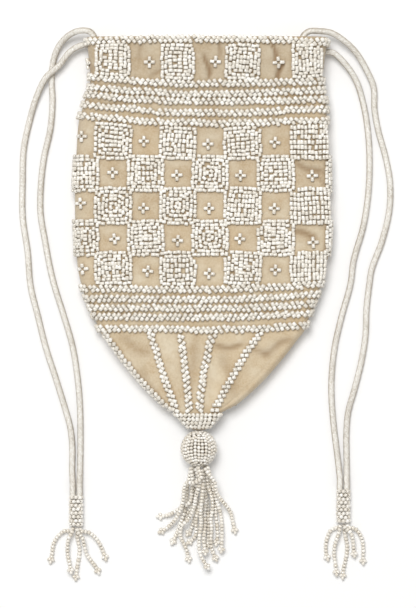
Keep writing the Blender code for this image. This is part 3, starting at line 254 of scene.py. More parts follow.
def relief(point, around):
    """Return how far the soft suede stands off its plain section at a point."""
    x, y = point.x, point.y
    on_back = smooth_step(1.5, 2.0, around) * (1 - smooth_step(3.0, 3.5, around))
    broad, fine = SWELL_WIDTHS
    swell = SWELL_HEIGHTS[0] * noise.noise((x / broad, y / broad, 1.3 + 4 * on_back))
    swell += SWELL_HEIGHTS[1] * noise.noise((x / fine, y / fine, 7.7 + on_back))
    folds = 0.0
    if around < 1.4:
        folds = wrinkle_depth(x, y) * (1 - smooth_step(1.0, 1.4, around))
    elif around > 3.6:
        folds = wrinkle_depth(x, y) * smooth_step(3.6, 4.0, around)
    spoke = math.atan2(x - GATHERS_MEET[0], y - GATHERS_MEET[1])
    gathers = GATHER_DEPTH * math.sin(spoke * GATHER_TURNS + 1.0)
    gathers *= smooth_step(CONE_TOP_Y, CONE_TOP_Y - 14, y)
    sewn_line = 0.0
    if y < SEWN_LINE_TOP_Y and 0.5 < around < 1.3:
        past = 0.8 * (outline_at(y)[1] - x) - SEWN_LINE_INSIDE
        sewn_line = SEWN_LINE_DEPTH * math.exp(-((past / SEWN_LINE_WIDTH) ** 2))
        sewn_line *= smooth_step(SEWN_LINE_TOP_Y, SEWN_LINE_TOP_Y - 7, y)
    level = 1 - 0.75 * on_back
    loose = 1 - 0.7 * smooth_step(140, RIM_Y, y)
    return (swell * level - folds - sewn_line + gathers * level) * loose


def ring_point(y, around, off, soft=True):
    """Return a point of the section at y, with the suede's relief when soft is set."""
    middle, flat, radius, back, crown = section_at(y)
    around %= 4
    part = min(int(around), 3)
    share = around - part
    center_z = back + radius
    if part == 0:
        across = 2 * share - 1
        base = Vector((middle + flat * across, y, center_z + radius + crown * (1 - across**2)))
        normal = Vector((0.0, 0.0, 1.0))
    elif part == 2:
        base = Vector((middle + flat * (1 - 2 * share), y, back))
        normal = Vector((0.0, 0.0, -1.0))
    else:
        angle = math.pi * share if part == 1 else math.pi * (1 - share)
        side = 1 if part == 1 else -1
        normal = Vector((side * math.sin(angle), 0.0, math.cos(angle)))
        base = Vector((middle + side * flat, y, center_z)) + normal * radius
    return base + normal * (off + (relief(base, around) if soft else 0.0))


def part_lengths(flat, radius):
    """Return the lengths of a section's front, right fold, back and left fold."""
    return (2 * flat, math.pi * radius) * 2


def around_at_length(walked, lengths):
    """Return how far around a length walked from the front's left edge reaches."""
    for part, length in enumerate(lengths[:3]):
        if walked <= length:
            return part + walked / length
        walked -= length
    return 3 + walked / lengths[3]


def around_at_s(y, s):
    """Return how far around the section at y a length s lies."""
    middle, flat, radius, _, _ = section_at(y)
    lengths = part_lengths(flat, radius)
    walked = s - (middle - flat)
    return around_at_length(walked if walked >= 0 else walked + sum(lengths), lengths)


def s_at_around(y, around):
    """Return the length s of a place around the section at y, negative past the left fold's top."""
    middle, flat, radius, _, _ = section_at(y)
    lengths = part_lengths(flat, radius)
    if around >= SEAM_AROUND[1]:
        return middle - flat - lengths[3] * (4 - around)
    whole = int(around)
    return middle - flat + sum(lengths[:whole]) + lengths[whole] * (around - whole)


def rise_at(x, lift):
    """Return how far a band rises at x, for its rise at the left and right edges."""
    return lift[x >= 0] * (x / COLUMN_LINES[0]) ** 2


def on_bag(y, s, off):
    """Return a point off the suede at y and s."""
    return ring_point(y, around_at_s(y, s), off)


def bead_frame(y, s, off):
    """Return a place on the bag with the directions along s, along y and out of the suede."""
    reach = 0.6
    place = on_bag(y, s, off)
    along_s = (on_bag(y, s + reach, off) - on_bag(y, s - reach, off)).normalized()
    along_y = (on_bag(y + reach, s, off) - on_bag(y - reach, s, off)).normalized()
    out = along_s.cross(along_y).normalized()
    return place, along_s, out.cross(along_s), out


# Meshes
def finish_piece(shape, name, material, nodes=()):
    """Turn a bmesh in millimetres into a piece that rides on the bag and replaces CAD nodes."""
    bmesh.ops.scale(shape, vec=(MM, MM, MM), verts=shape.verts)
    mesh = bpy.data.meshes.new(name)
    shape.to_mesh(mesh)
    shape.free()
    mesh.materials.append(material)
    mesh.shade_smooth()
    piece = bpy.data.objects.new(name, mesh)
    bpy.context.collection.objects.link(piece)
    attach(piece, "root")
    if nodes:
        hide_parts(*nodes)
    return piece


BEAD_SIDES = 8
HOLE_SHARE = 0.2        # radius of a bead's bore, as a share of its width


def make_bead(name, upper_profile):
    """Make one bead of unit length and width, bored along Z, by turning its profile."""
    profile = upper_profile + [(radius, -height) for radius, height in reversed(upper_profile)]
    shape = bmesh.new()
    corners = [shape.verts.new((radius, 0.0, height)) for radius, height in profile]
    edges = [shape.edges.new((start, end)) for start, end in zip(corners, corners[1:] + corners[:1])]
    bmesh.ops.spin(
        shape, geom=corners + edges, cent=(0, 0, 0), axis=(0, 0, 1), angle=2 * math.pi, steps=BEAD_SIDES,
        use_merge=True,
    )
    bmesh.ops.recalc_face_normals(shape, faces=shape.faces)
    mesh = bpy.data.meshes.new(name)
    shape.to_mesh(mesh)
    shape.free()
    mesh.shade_smooth()
    mesh.attributes.new("bead_tone", "FLOAT", "POINT")
    return mesh


CUT_BEAD = make_bead("cut_bead", [(HOLE_SHARE, 0.44), (0.4, 0.5), (0.5, 0.4)])
ROUND_BEAD = make_bead("round_bead", [(HOLE_SHARE, 0.42), (0.3, 0.5), (0.5, 0.15)])
CELL = 2.0              # side of the cells by which sewn beads are found
# How far a bead's size and tilt stray
WIDTH_CHANCE = (0.94, 1.05)
LENGTH_CHANCE = (0.88, 1.08)
TILT_CHANCE = 0.07


def cell_of(place):
    """Return the cell that a place lies in."""
    return tuple(int(value // CELL) for value in place)


class Sewing:
    """Collects the beads of one piece, and keeps them clear of those sewn before."""

    taken = {}

    def __init__(self, seed):
        self.beads = []
        self.chance = random.Random(seed)

    @classmethod
    def near(cls, place):
        """Yield the places of all beads sewn so far in the cells round a place."""
        x, y, z = cell_of(place)
        for step_x, step_y, step_z in product((-1, 0, 1), repeat=3):
            yield from cls.taken.get((x + step_x, y + step_y, z + step_z), ())

    def add(self, place, axis, out, length, width, spare=TOO_CLOSE):
        """Sew one bead, with a little chance in its size and tilt, unless its place is taken."""
        if any((other - place).length < spare for other in self.near(place)):
            return
        self.taken.setdefault(cell_of(place), []).append(place)
        axis = (axis + out * self.chance.gauss(0.0, TILT_CHANCE)).normalized()
        across = out.cross(axis).normalized()
        turned = Matrix((across, axis.cross(across), axis)).transposed().to_4x4()
        widths = [width * self.chance.uniform(*WIDTH_CHANCE) for _ in range(2)]
        size = Matrix.Diagonal((*widths, length * self.chance.uniform(*LENGTH_CHANCE), 1.0))
        self.beads.append((Matrix.Translation(place) @ turned @ size, self.chance.random()))

    def make(self, name, bead, material, nodes=()):
        """Join the sewn beads into one piece."""
        shape = bmesh.new()
        count = len(bead.vertices)
        plain = [0.0] * (3 * count)
        bead.vertices.foreach_get("co", plain)
        for matrix, tone in self.beads:
            bead.vertices.foreach_set("co", plain)
            bead.attributes["bead_tone"].data.foreach_set("value", [tone] * count)
            bead.transform(matrix)
            shape.from_mesh(bead)
        bead.vertices.foreach_set("co", plain)
        return finish_piece(shape, name, material, nodes)


# Sewn beadwork
SEWN_OFF = (0.95, 1.2)    # a bead's middle off the suede: on the front, and on the back, down to the table


def s_at_x(y, x):
    """Return the length s of an x on the front or on the upper half of a side fold."""
    middle, flat, radius, _, _ = section_at(y)
    past = abs(x - middle) - flat
    if past <= 0:
        return x
    side = 1 if x > middle else -1
    return middle + side * (flat + radius * math.asin(min(past / radius, 0.99)))


def x_at_s(y, s):
    """Return the x of a length s on the plain section."""
    return ring_point(y, around_at_s(y, s), 0.0, soft=False).x


def sew(sewing, y, s, turn, length=BEAD_LENGTH, width=BEAD_WIDTH, spare=TOO_CLOSE):
    """Sew a bead at y and s, its thread turned from the direction in which s grows."""
    around = around_at_s(y, s)
    on_back = smooth_step(1.6, 1.95, around) * (1 - smooth_step(3.05, 3.4, around))
    place, along_s, along_y, out = bead_frame(y, s, lerp(*SEWN_OFF, on_back))
    sewing.add(place, along_s * math.cos(turn) + along_y * math.sin(turn), out, length, width, spare)


ROUNDING = (0.05, 0.12, 0.26, 0.5, 0.85)    # how round each ring of a square is, from the outside in


def on_rounded(half_s, half_y, corner, walked):
    """Return the place and turn at a length walked round a rectangle with round corners."""
    for side in range(4):
        reach, depth = (half_s, half_y) if side % 2 == 0 else (half_y, half_s)
        straight, arc = 2 * (reach - corner), corner * math.pi / 2
        if walked <= straight + arc or side == 3:
            angle = max(walked - straight, 0.0) / corner
            across = min(walked, straight) - reach + corner + corner * math.sin(angle)
            up = depth - corner + corner * math.cos(angle)
            place = ((across, up), (up, -across), (-across, -up), (-up, across))[side]
            return (*place, -angle - side * math.pi / 2)
        walked -= straight + arc


def row_places(half_s, half_y, upright):
    """Yield places and turns of beads in rows along s, or in upright columns."""
    if upright:
        for up, across, turn in row_places(half_y, half_s, False):
            yield across, up, turn + math.pi / 2
        return
    rows = max(1, round(2 * half_y / ROW_SPACING))
    in_row = max(1, round(2 * half_s / BEAD_PITCH))
    for row in range(rows):
        for step in range(in_row):
            across = -half_s + (step + 0.5) * 2 * half_s / in_row
            yield across, -half_y + (row + 0.5) * 2 * half_y / rows, 0.0


def ring_places(half_s, half_y, rings, upright):
    """Yield places and turns of beads in rings from a rectangle's edge inwards, and in rows inside them."""
    for number, rounding in enumerate(ROUNDING):
        if number == rings:
            yield from row_places(half_s, half_y, upright)
            return
        line_s, line_y = half_s - ROW_SPACING / 2, half_y - ROW_SPACING / 2
        if min(line_s, line_y) < 0.35 * ROW_SPACING:
            if min(half_s, half_y) < 0.4 * ROW_SPACING:
                return
            reach = max(half_s, half_y)
            count = max(1, round(2 * reach / BEAD_PITCH))
            for step in range(count):
                along = -reach + (step + 0.5) * 2 * reach / count
                yield (along, 0.0, 0.0) if half_s > half_y else (0.0, along, math.pi / 2)
            return
        corner = min(line_s, line_y) * rounding
        length = 4 * (line_s + line_y) - (8 - 2 * math.pi) * corner
        count = max(3, round(length / BEAD_PITCH))
        for step in range(count):
            yield on_rounded(line_s, line_y, corner, (step + rounding / 2) % count * length / count)
        half_s -= ROW_SPACING
        half_y -= ROW_SPACING


BOW = 0.035             # how far a square's sides bow out, as a share of its half width
PLACE_CHANCE = 0.19     # how far a bead strays from its place
TURN_CHANCE = math.radians(9)
RING_CHOICES = (2, 2, 3, 3)     # how many rings a square has round its rows
FILLING_TRIES = 170     # how often a bead is tried in the gaps that a square's rings leave
FILLING_ROOM = 1.68     # how near such a bead may lie to the others
LEAN = math.radians(2)          # how far a whole square may be turned
SWIRL = math.radians(1.6)       # how much further each ring may be turned than the ring round it
# The squares whose beads stand in upright columns: row and column
UPRIGHT_SQUARES = ((0, 7), (2, 7), (4, 7))
# The squares whose beads run in rings to the middle
WHORLS = ((1, 4), (2, 1), (2, 3), (3, 4))


def raised(y, s, lifts, share_y):
    """Return y with the rise that a square's upper and lower edges give it."""
    x = x_at_s(y, s)
    return y + lerp(rise_at(x, lifts[1]), rise_at(x, lifts[0]), (share_y + 1) / 2)


def fill_square(sewing, s_edges, y_edges, lifts=(NO_LIFT, NO_LIFT), square=None):
    """Fill a square with beads. y_edges and lifts give its upper edge first."""
    chance = sewing.chance
    middle_s, middle_y = sum(s_edges) / 2, sum(y_edges) / 2
    half_s, half_y = (s_edges[1] - s_edges[0]) / 2, (y_edges[0] - y_edges[1]) / 2
    lean = chance.uniform(-LEAN, LEAN)
    swirl = SWIRL * chance.uniform(-1.0, 1.0)
    hand = chance.choice((-1, 1))
    upright = square in UPRIGHT_SQUARES
    rings = 0 if upright else chance.choice(RING_CHOICES)
    if square in WHORLS:
        rings = len(ROUNDING)
    for place_s, place_y, turn in ring_places(half_s, half_y, rings, upright or chance.random() < 0.5):
        share_s, share_y = place_s / half_s, place_y / half_y
        tilt = lean + swirl * (1 - max(abs(share_s), abs(share_y))) * half_s / ROW_SPACING
        place_s *= hand * (1 + BOW * (1 - share_y**2))
        place_y *= 1 + BOW * (1 - share_s**2)
        across = place_s * math.cos(tilt) - place_y * math.sin(tilt)
        up = place_y * math.cos(tilt) + place_s * math.sin(tilt)
        s = middle_s + across + chance.gauss(0.0, PLACE_CHANCE)
        y = raised(middle_y + up + chance.gauss(0.0, PLACE_CHANCE), s, lifts, share_y)
        sew(sewing, y, s, tilt + hand * turn + chance.gauss(0.0, TURN_CHANCE))
    for _ in range(FILLING_TRIES):
        share_y = chance.uniform(-1.0, 1.0) * (1 - BEAD_WIDTH / half_y / 2)
        s = middle_s + chance.uniform(-1.0, 1.0) * (half_s - BEAD_WIDTH / 2)
        y = raised(middle_y + share_y * half_y, s, lifts, share_y)
        turn = chance.choice((0.0, math.pi / 2)) + chance.gauss(0.0, TURN_CHANCE)
        sew(sewing, y, s, turn, spare=FILLING_ROOM)


PAIR_TURN_CHANCE = math.radians(8)
PAIR_PLACE_CHANCE = 0.18
PAIR_GAP = 0.06         # half the gap between a pair's two beads
PAIR_ROOM = 1.3         # how near a pair's beads may lie to those sewn before
WAVE_LENGTH = 16        # over which a band sways up and down
HAND_CHANGE_S = 44      # where one upper band changes hands
# The hand of a band's stitches left and right of that: -1 where they fall to the right
FALLING, RISING = (-1, -1), (1, 1)
UPPER_HANDS = (FALLING, FALLING, FALLING, (-1, 1), FALLING)
LOWER_HANDS = (FALLING, RISING, FALLING, RISING, FALLING)


def sew_pair(sewing, y, s, turn):
    """Sew two beads in line, the stitch that the bands are made of."""
    turn += sewing.chance.gauss(0.0, PAIR_TURN_CHANCE)
    y += sewing.chance.gauss(0.0, PAIR_PLACE_CHANCE)
    s += sewing.chance.gauss(0.0, PAIR_PLACE_CHANCE)
    for side in (-1, 1):
        reach = side * (BAND_BEAD_LENGTH / 2 + PAIR_GAP)
        bead_y, bead_s = y + reach * math.sin(turn), s + reach * math.cos(turn)
        sew(sewing, bead_y, bead_s, turn, BAND_BEAD_LENGTH, BAND_BEAD_WIDTH, PAIR_ROOM)


def sew_band(sewing, y, lift, hands, wave):
    """Sew slanted pairs round the bag, from one side of the plain seam strip to the other."""
    start = s_at_around(y, SEAM_AROUND[1])
    end = s_at_around(y, SEAM_AROUND[0])
    count = round((end - start) / BAND_STITCH)
    for step in range(count + 1):
        s = lerp(start, end, step / count)
        sway = wave * noise.noise((s / WAVE_LENGTH, y, 3.1))
        turn = hands[s > HAND_CHANGE_S] * BAND_SLANT
        sew_pair(sewing, y + rise_at(x_at_s(y, s), lift) + sway, s, turn)


def grown(edges, lap=CORNER_LAP / 2):
    """Return a pair of edges moved apart by the lap of a square over its neighbours' corners."""
    low, high = edges
    return (low - lap, high + lap) if low < high else (low + lap, high - lap)


def front_columns(y):
    """Return the s edges of the front's columns, the first and the last two on the side folds."""
    arounds = (SEAM_AROUND[1], RIGHT_COLUMN_AROUND, BACK_EDGE_AROUND)
    first, *last = (s_at_around(y, around) for around in arounds)
    lines = [first, *COLUMN_LINES, *last]
    return list(zip(lines, lines[1:]))


def back_columns(y):
    """Return the s edges of the back's columns."""
    lines = [s_at_around(y, 2 + line / BACK_COLUMNS) for line in range(BACK_COLUMNS + 1)]
    return list(zip(lines, lines[1:]))


CROSS_REACH = 1.86      # from a cross's middle to the middle of each bead


def sew_crosses(sewing, places):
    """Sew four beads in a cross at each place, given as s and y."""
    for s, y in places:
        tilt = sewing.chance.gauss(0.0, math.radians(5))
        for side in range(4):
            turn = tilt + side * math.pi / 2
            reach = CROSS_REACH + sewing.chance.uniform(-0.1, 0.15)
            sew(sewing, y + reach * math.sin(turn), s + reach * math.cos(turn), turn)


# The crosses of the front, from the mouth down, as x and y
FRONT_CROSSES = (
    (-64.0, 133.2), (-29.0, 133.6), (7.1, 133.8), (41.5, 133.4),
    (-65.8, 93.3), (-32.1, 90.5), (3.0, 88.9), (39.6, 89.9),
    (-49.2, 73.4), (-14.1, 71.9), (20.8, 71.7), (60.1, 71.6),
    (-66.4, 56.6), (-32.4, 53.8), (3.6, 53.7), (39.3, 53.7),
    (-48.2, 37.0), (-13.5, 36.2), (20.4, 37.1), (60.6, 35.1),
    (-65.2, 20.6), (-30.0, 19.5), (3.6, 18.0), (39.9, 20.1),
)

MOUTH_BEADS_Y = TOP_BAND_Y + 0.9
TOP_SQUARE_Y = (TOP_ROW_Y[0] + 0.1, TOP_ROW_Y[1] - 0.4)     # upper and lower edge of the mouth's squares


def make_top_beadwork():
    """Sew the doubled beads along the mouth's edge and the squares that hang from them."""
    sewing = Sewing(11)
    sew_band(sewing, MOUTH_BEADS_Y, MOUTH_LIFT, FALLING, 0.35)
    middle_y = sum(TOP_SQUARE_Y) / 2
    for s_edges in front_columns(middle_y)[1:8:2]:
        fill_square(sewing, grown(s_edges, 0.4), TOP_SQUARE_Y, (NO_LIFT, UPPER_LIFT))
    for s_edges in back_columns(middle_y)[::2]:
        fill_square(sewing, grown(s_edges, -0.6), TOP_SQUARE_Y)
    sewing.make("top_beadwork_beads", CUT_BEAD, PEARL, ["top_beadwork"])


def make_bands():
    """Sew the five bands above the checker and the five below it."""
    groups = (
        ("upper_band", 20, UPPER_BANDS, UPPER_HANDS, UPPER_LIFT, 0.9),
        ("lower_band", 30, LOWER_BANDS, LOWER_HANDS, LOWER_LIFT, 0.45),
    )
    for group, seed, heights, all_hands, lift, wave in groups:
        for number, (y, hands) in enumerate(zip(heights, all_hands)):
            sewing = Sewing(seed + number)
            sew_band(sewing, y, lift, hands, wave)
            sewing.make(f"{group}_{number + 1}_beads", CUT_BEAD, PEARL, [f"{group}_{number + 1}"])


def make_checker():
    """Sew the checker's squares, and the small crosses in its bare cells."""
    front, back, crosses = Sewing(41), Sewing(42), Sewing(43)
    sew_crosses(crosses, [(s_at_x(y, x), y) for x, y in FRONT_CROSSES])
    last_row = len(ROW_LINES) - 2
    for row, y_edges in enumerate(zip(ROW_LINES, ROW_LINES[1:])):
        middle_y = sum(y_edges) / 2
        lifts = (NO_LIFT if row else UPPER_LIFT, LOWER_LIFT if row == last_row else NO_LIFT)
        upper = y_edges[0] + (CORNER_LAP / 2 if row else 0.0)
        lower = y_edges[1] - (CORNER_LAP / 2 if row < last_row else 0.0)
        for column, s_edges in enumerate(front_columns(middle_y)):
            if (row + column) % 2:
                fill_square(front, grown(s_edges), (upper, lower), lifts, (row, column))
        for column, s_edges in enumerate(back_columns(middle_y)):
            if (row + column) % 2 == 0:
                fill_square(back, grown(s_edges), (upper, lower), lifts)
            else:
                sew_crosses(crosses, [(sum(s_edges) / 2, middle_y)])
    front.make("checker_front_beads", CUT_BEAD, PEARL, ["checker_front"])
    back.make("checker_back_beads", CUT_BEAD, PEARL, ["checker_back"])
    crosses.make("cross_beads", CUT_BEAD, PEARL)


# The bands on the cone, at the heights of CONE_STATIONS: the front's as x, the others as how far around
CONE_STATIONS = tuple(CONE_TOP_Y - share * CONE_LENGTH for share in (0.0, 0.3, 0.65, 1.02))
CONE_BAND_XS = (
    (-28.4, -24.4, -19.6, -13.6),
    (-12.0, -10.2, -8.5, -7.0),
    (5.6, 2.2, -0.4, -1.9),
    (31.0, 22.3, 13.7, 5.0),
)
CONE_FOLD_AROUNDS = (3.80, 3.76, 3.70, 3.58)
CONE_BACK_AROUNDS = (
    (2.16, 2.13, 2.08, 2.0), (2.38, 2.36, 2.32, 2.24), (2.62, 2.63, 2.65, 2.68), (2.84, 2.87, 2.95, 3.1),
)


def sew_cone_band(name, route, hand):
    """Sew slanted pairs down a band of the cone, whose route gives s at each station."""
    sewing = Sewing(name)
    points = smooth_route([(s, y, 0.0) for s, y in zip(route, CONE_STATIONS)], BAND_STITCH)
    for before, after in zip(points, points[1:]):
        run = math.atan2(after.y - before.y, after.x - before.x)
        sew_pair(sewing, before.y, before.x, run + hand * BAND_SLANT)
    sewing.make(f"{name}_beads", CUT_BEAD, PEARL, [name])


def make_cone_bands():
    """Sew the bands that run down the cone."""
    fold, *behind = (
        list(map(s_at_around, CONE_STATIONS, arounds)) for arounds in (CONE_FOLD_AROUNDS, *CONE_BACK_AROUNDS)
    )
    routes = [fold, *CONE_BAND_XS, *behind]
    for number, route in enumerate(routes):
        sew_cone_band(f"cone_band_{number + 1}", route, 1 if number % 2 else -1)


COLLAR_ROW = 2.1
COLLAR_ROWS = 4
COLLAR_BEAD = (2.4, BEAD_WIDTH + 0.2)   # length and width
COLLAR_RISE = 0.4       # how far the beads reach up over the bands' ends
COLLAR_FLARE = 0.25     # how much further out each row may stand than the one below it


def make_collar():
    """Sew the rows of upright beads round the neck."""
    sewing = Sewing(60)
    for row in range(COLLAR_ROWS):
        y = COLLAR_TOP_Y + COLLAR_RISE - (row + 0.5) * COLLAR_ROW
        _, flat, radius, _, _ = section_at(y)
        lengths = part_lengths(flat, radius + SEWN_OFF[0])
        count = round(sum(lengths) / COLLAR_BEAD[1])
        for step in range(count):
            around = around_at_length(step / count * sum(lengths), lengths)
            point = ring_point(y, around, SEWN_OFF[0])
            out = (point - ring_point(y, around, 0.0)).normalized()
            axis = (ring_point(y + 1.0, around, SEWN_OFF[0]) - point).normalized()
            axis = axis + out.cross(axis) * sewing.chance.gauss(0.0, 0.12)
            point += out * COLLAR_FLARE * (COLLAR_ROWS - 1 - row) * sewing.chance.uniform(0.2, 1.0)
            sewing.add(point, axis.normalized(), out, *COLLAR_BEAD, 1.2)
    sewing.make("collar_beads", CUT_BEAD, PEARL, ["collar"])


BALL_STRINGS = 28
BALL_BEAD_RADIUS = 9.25     # from the ball's middle to the middle of each bead
BALL_BEAD = (1.85, 1.98)    # length and width
BALL_END = 80               # latitude in degrees at which its strings start and end


def make_ball():
    """Thread the strings of beads that cover the ball from pole to pole."""
    sewing = Sewing(61)
    step_angle = math.degrees(STRAND_PITCH / BALL_BEAD_RADIUS)
    for string in range(BALL_STRINGS):
        turn = 2 * math.pi * (string + sewing.chance.uniform(-0.05, 0.05)) / BALL_STRINGS
        spoke = Vector((math.cos(turn), 0.0, math.sin(turn)))
        latitude = -BALL_END + sewing.chance.uniform(0.0, step_angle)
        while latitude < BALL_END:
            angle = math.radians(latitude)
            out = spoke * math.cos(angle) + Vector((0.0, math.sin(angle), 0.0))
            axis = Vector((0.0, math.cos(angle), 0.0)) - spoke * math.sin(angle)
            middle = Vector((BALL_X, BALL_Y, BALL_RADIUS)) + out * BALL_BEAD_RADIUS
            sewing.add(middle, axis, out, *BALL_BEAD, 1.4)
            latitude += step_angle
    sewing.make("ball_beads", ROUND_BEAD, CREAM_PEARL, ["ball_cover"])


# Strands
STRAND_DIAMETER = 2.2
STRAND_RADIUS = STRAND_DIAMETER / 2
PICOT_SWELL = 1.6         # how much wider a strand's end beads lie
PICOT_LENGTH = 4.4
STRAND_FALL = 30.0        # length over which a strand comes down to the table
STRAND_SLOPE = 0.45
STRAND_GAP = 0.3
STRAND_POINT_STEP = 4.4
SLEEVE_RADIUS = 3.7


# Routes seen from above, from the bag to the sleeve, as x and the height above the mouth's edge
LEFT_OUTER_ROUTE = (
    (-78.9, -14.8), (-86.1, -21.4), (-91.6, -32.4), (-95.4, -45.0), (-98.7, -61.0), (-99.3, -78.6),
    (-99.3, -97.8), (-96.5, -117.6), (-94.9, -136.3), (-91.0, -152.3), (-86.6, -169.9), (-81.1, -186.9),
    (-76.7, -201.0), (-72.9, -215.0), (-71.9, -225.4), (-72.0, -238.6),
)
LEFT_INNER_ROUTE = (
    (-74.0, 1.2), (-78.9, -3.8), (-81.7, -9.8), (-82.8, -15.3), (-83.3, -23.6), (-82.8, -33.5),
    (-83.9, -48.9), (-87.7, -66.5), (-89.4, -83.5), (-89.4, -96.2), (-87.2, -109.9), (-83.9, -127.5),
    (-81.7, -136.3), (-76.7, -152.3), (-71.8, -169.3), (-69.0, -186.9), (-67.7, -202.3), (-67.4, -217.7),
    (-67.5, -233.1),
)
RIGHT_OUTER_ROUTE = (
    (70.7, 2.8), (77.3, -1.0), (84.4, -7.6), (89.9, -16.4), (94.3, -26.3), (94.9, -39.0),
    (97.1, -51.1), (100.9, -64.8), (103.4, -78.6), (103.1, -94.0), (99.0, -111.6), (93.2, -127.5),
    (92.1, -134.7), (90.5, -148.4), (89.9, -163.8), (87.7, -177.6), (83.9, -193.0), (80.3, -206.2),
    (79.4, -217.7), (79.5, -233.1),
)
RIGHT_INNER_ROUTE = (
    (77.3, -12.6), (84.4, -22.5), (88.3, -34.0), (91.0, -48.9), (92.1, -63.7), (91.6, -83.5),
    (88.8, -102.8), (83.3, -122.6), (81.7, -134.7), (76.7, -153.1), (72.9, -169.9), (71.2, -186.9),
    (71.2, -198.5), (72.3, -212.5), (74.3, -229.3),
)
# Where a cord passes over the mouth's edge
LEFT_MOUTH_X = -59.5
RIGHT_MOUTH_X = 54.8
# Each sleeve's upper and lower end on its axis, measured as the routes are
LEFT_SLEEVE = ((-69.7, -251.8), (-69.7, -268.8))
RIGHT_SLEEVE = ((77.6, -248.5), (77.6, -266.7))

# The tassel's strands from the ball to their tips, from the ball's middle, the ones that lie lowest first
TASSEL_ROUTES = (
    ((4.5, -28.4), (5.0, -36.0), (5.3, -44.9), (4.8, -53.1), (4.2, -56.5)),
    ((6.1, -19.5), (8.9, -27.2), (9.2, -36.0), (10.0, -43.2), (10.2, -49.2), (9.2, -54.3)),
    ((-3.2, -19.5), (-3.2, -27.9), (-4.9, -33.4), (-7.1, -37.2), (-9.3, -40.5)),
    ((-1.6, -21.8), (-1.0, -31.7), (-2.7, -40.0), (-4.3, -44.9), (-7.1, -48.8)),
    ((4.5, -19.5), (7.0, -26.8), (7.5, -32.8), (6.5, -40.0), (7.0, -45.5), (6.5, -51.5), (7.4, -56.5),
     (10.0, -62.5)),
    ((-4.9, -14.7), (-6.0, -18.0), (-6.5, -24.0), (-7.1, -31.2), (-8.2, -35.5), (-10.9, -43.8),
     (-13.7, -50.4), (-15.3, -53.5)),
    ((2.8, -20.7), (3.7, -28.4), (3.1, -36.0), (3.4, -42.7), (2.6, -49.2), (3.1, -54.3), (3.7, -59.1)),
    ((1.7, -20.7), (1.4, -27.9), (0.3, -32.2), (-1.3, -37.2), (-1.9, -42.7), (-1.0, -46.5),
     (-3.8, -50.8), (-7.0, -53.1)),
    ((7.2, -18.0), (8.9, -25.0), (10.5, -31.2), (12.2, -37.8), (12.7, -48.8), (12.3, -58.0)),
    ((-3.4, -18.5), (-4.2, -24.0), (-4.1, -28.4), (-6.5, -31.2), (-10.4, -32.8), (-13.8, -35.4),
     (-17.5, -37.2), (-23.6, -38.0)),
    ((2.3, -18.5), (1.7, -26.8), (0.9, -36.0), (1.2, -41.5), (0.2, -48.8), (0.2, -55.9),
     (1.7, -60.5), (5.6, -66.9)),
    ((0.6, -18.0), (-0.6, -22.5), (-1.9, -27.2), (-2.5, -31.7), (-4.1, -35.8), (-6.0, -39.2),
     (-9.0, -42.2), (-10.4, -45.2), (-10.0, -48.8), (-8.5, -52.4), (-7.0, -55.4), (-6.3, -58.6),
     (-5.2, -63.4)),
    ((5.3, -14.0), (8.6, -17.4), (8.9, -21.2), (10.2, -25.0), (13.3, -29.5), (17.1, -34.5),
     (18.8, -41.0), (20.2, -47.7)),
    ((1.2, -16.5), (-1.9, -18.2), (-5.4, -18.5), (-7.6, -19.0), (-8.2, -21.8), (-8.3, -25.7),
     (-8.9, -30.0), (-10.4, -34.5), (-13.7, -40.2), (-18.1, -44.4), (-22.5, -47.0)),
)
# Where each strand leaves the ball: its distance from the axis and its angle, 0 at +X and 90 up
TASSEL_STARTS = (
    (4.9, 270), (4.9, 306), (4.9, 234), (2.45, 270), (4.9, 342), (4.9, 198), (2.45, 342), (2.45, 198),
    (4.9, 18), (4.9, 162), (2.45, 54), (2.45, 126), (4.9, 54), (4.9, 97),
)
LEFT_FRINGE_ROUTES = (
    ((-76.2, -271.5), (-79.5, -274.0), (-81.7, -277.1), (-82.8, -281.5), (-83.3, -285.9), (-84.2, -289.6)),
    ((-72.9, -272.6), (-74.0, -276.6), (-74.5, -283.2), (-73.4, -289.2), (-72.3, -295.2)),
    ((-69.6, -272.7), (-68.1, -279.3), (-68.2, -285.9), (-69.0, -290.3), (-70.1, -299.1)),
    ((-67.2, -273.2), (-65.6, -276.6), (-64.6, -282.1), (-62.7, -286.5), (-59.7, -290.0), (-56.9, -295.5)),
    ((-65.2, -271.2), (-61.6, -272.8), (-58.0, -276.6), (-55.6, -281.0), (-53.1, -288.1)),
)
RIGHT_FRINGE_ROUTES = (
    ((73.4, -269.2), (70.4, -271.6), (68.7, -275.5), (68.0, -279.9), (68.2, -283.7), (69.4, -288.2)),
    ((75.6, -271.1), (74.0, -275.5), (72.6, -281.0), (72.6, -285.4), (73.4, -289.8), (74.0, -296.4)),
    ((78.2, -271.6), (79.4, -276.3), (79.8, -281.0), (79.3, -285.9), (77.8, -292.3), (77.3, -298.4)),
    ((80.4, -270.5), (82.2, -273.6), (83.0, -277.7), (83.3, -281.5), (83.9, -286.3)),
    ((82.2, -268.9), (84.9, -270.8), (87.6, -274.9), (88.6, -279.3), (88.6, -285.4), (88.6, -290.4)),
)
FRINGE_START_RADIUS = 2.15


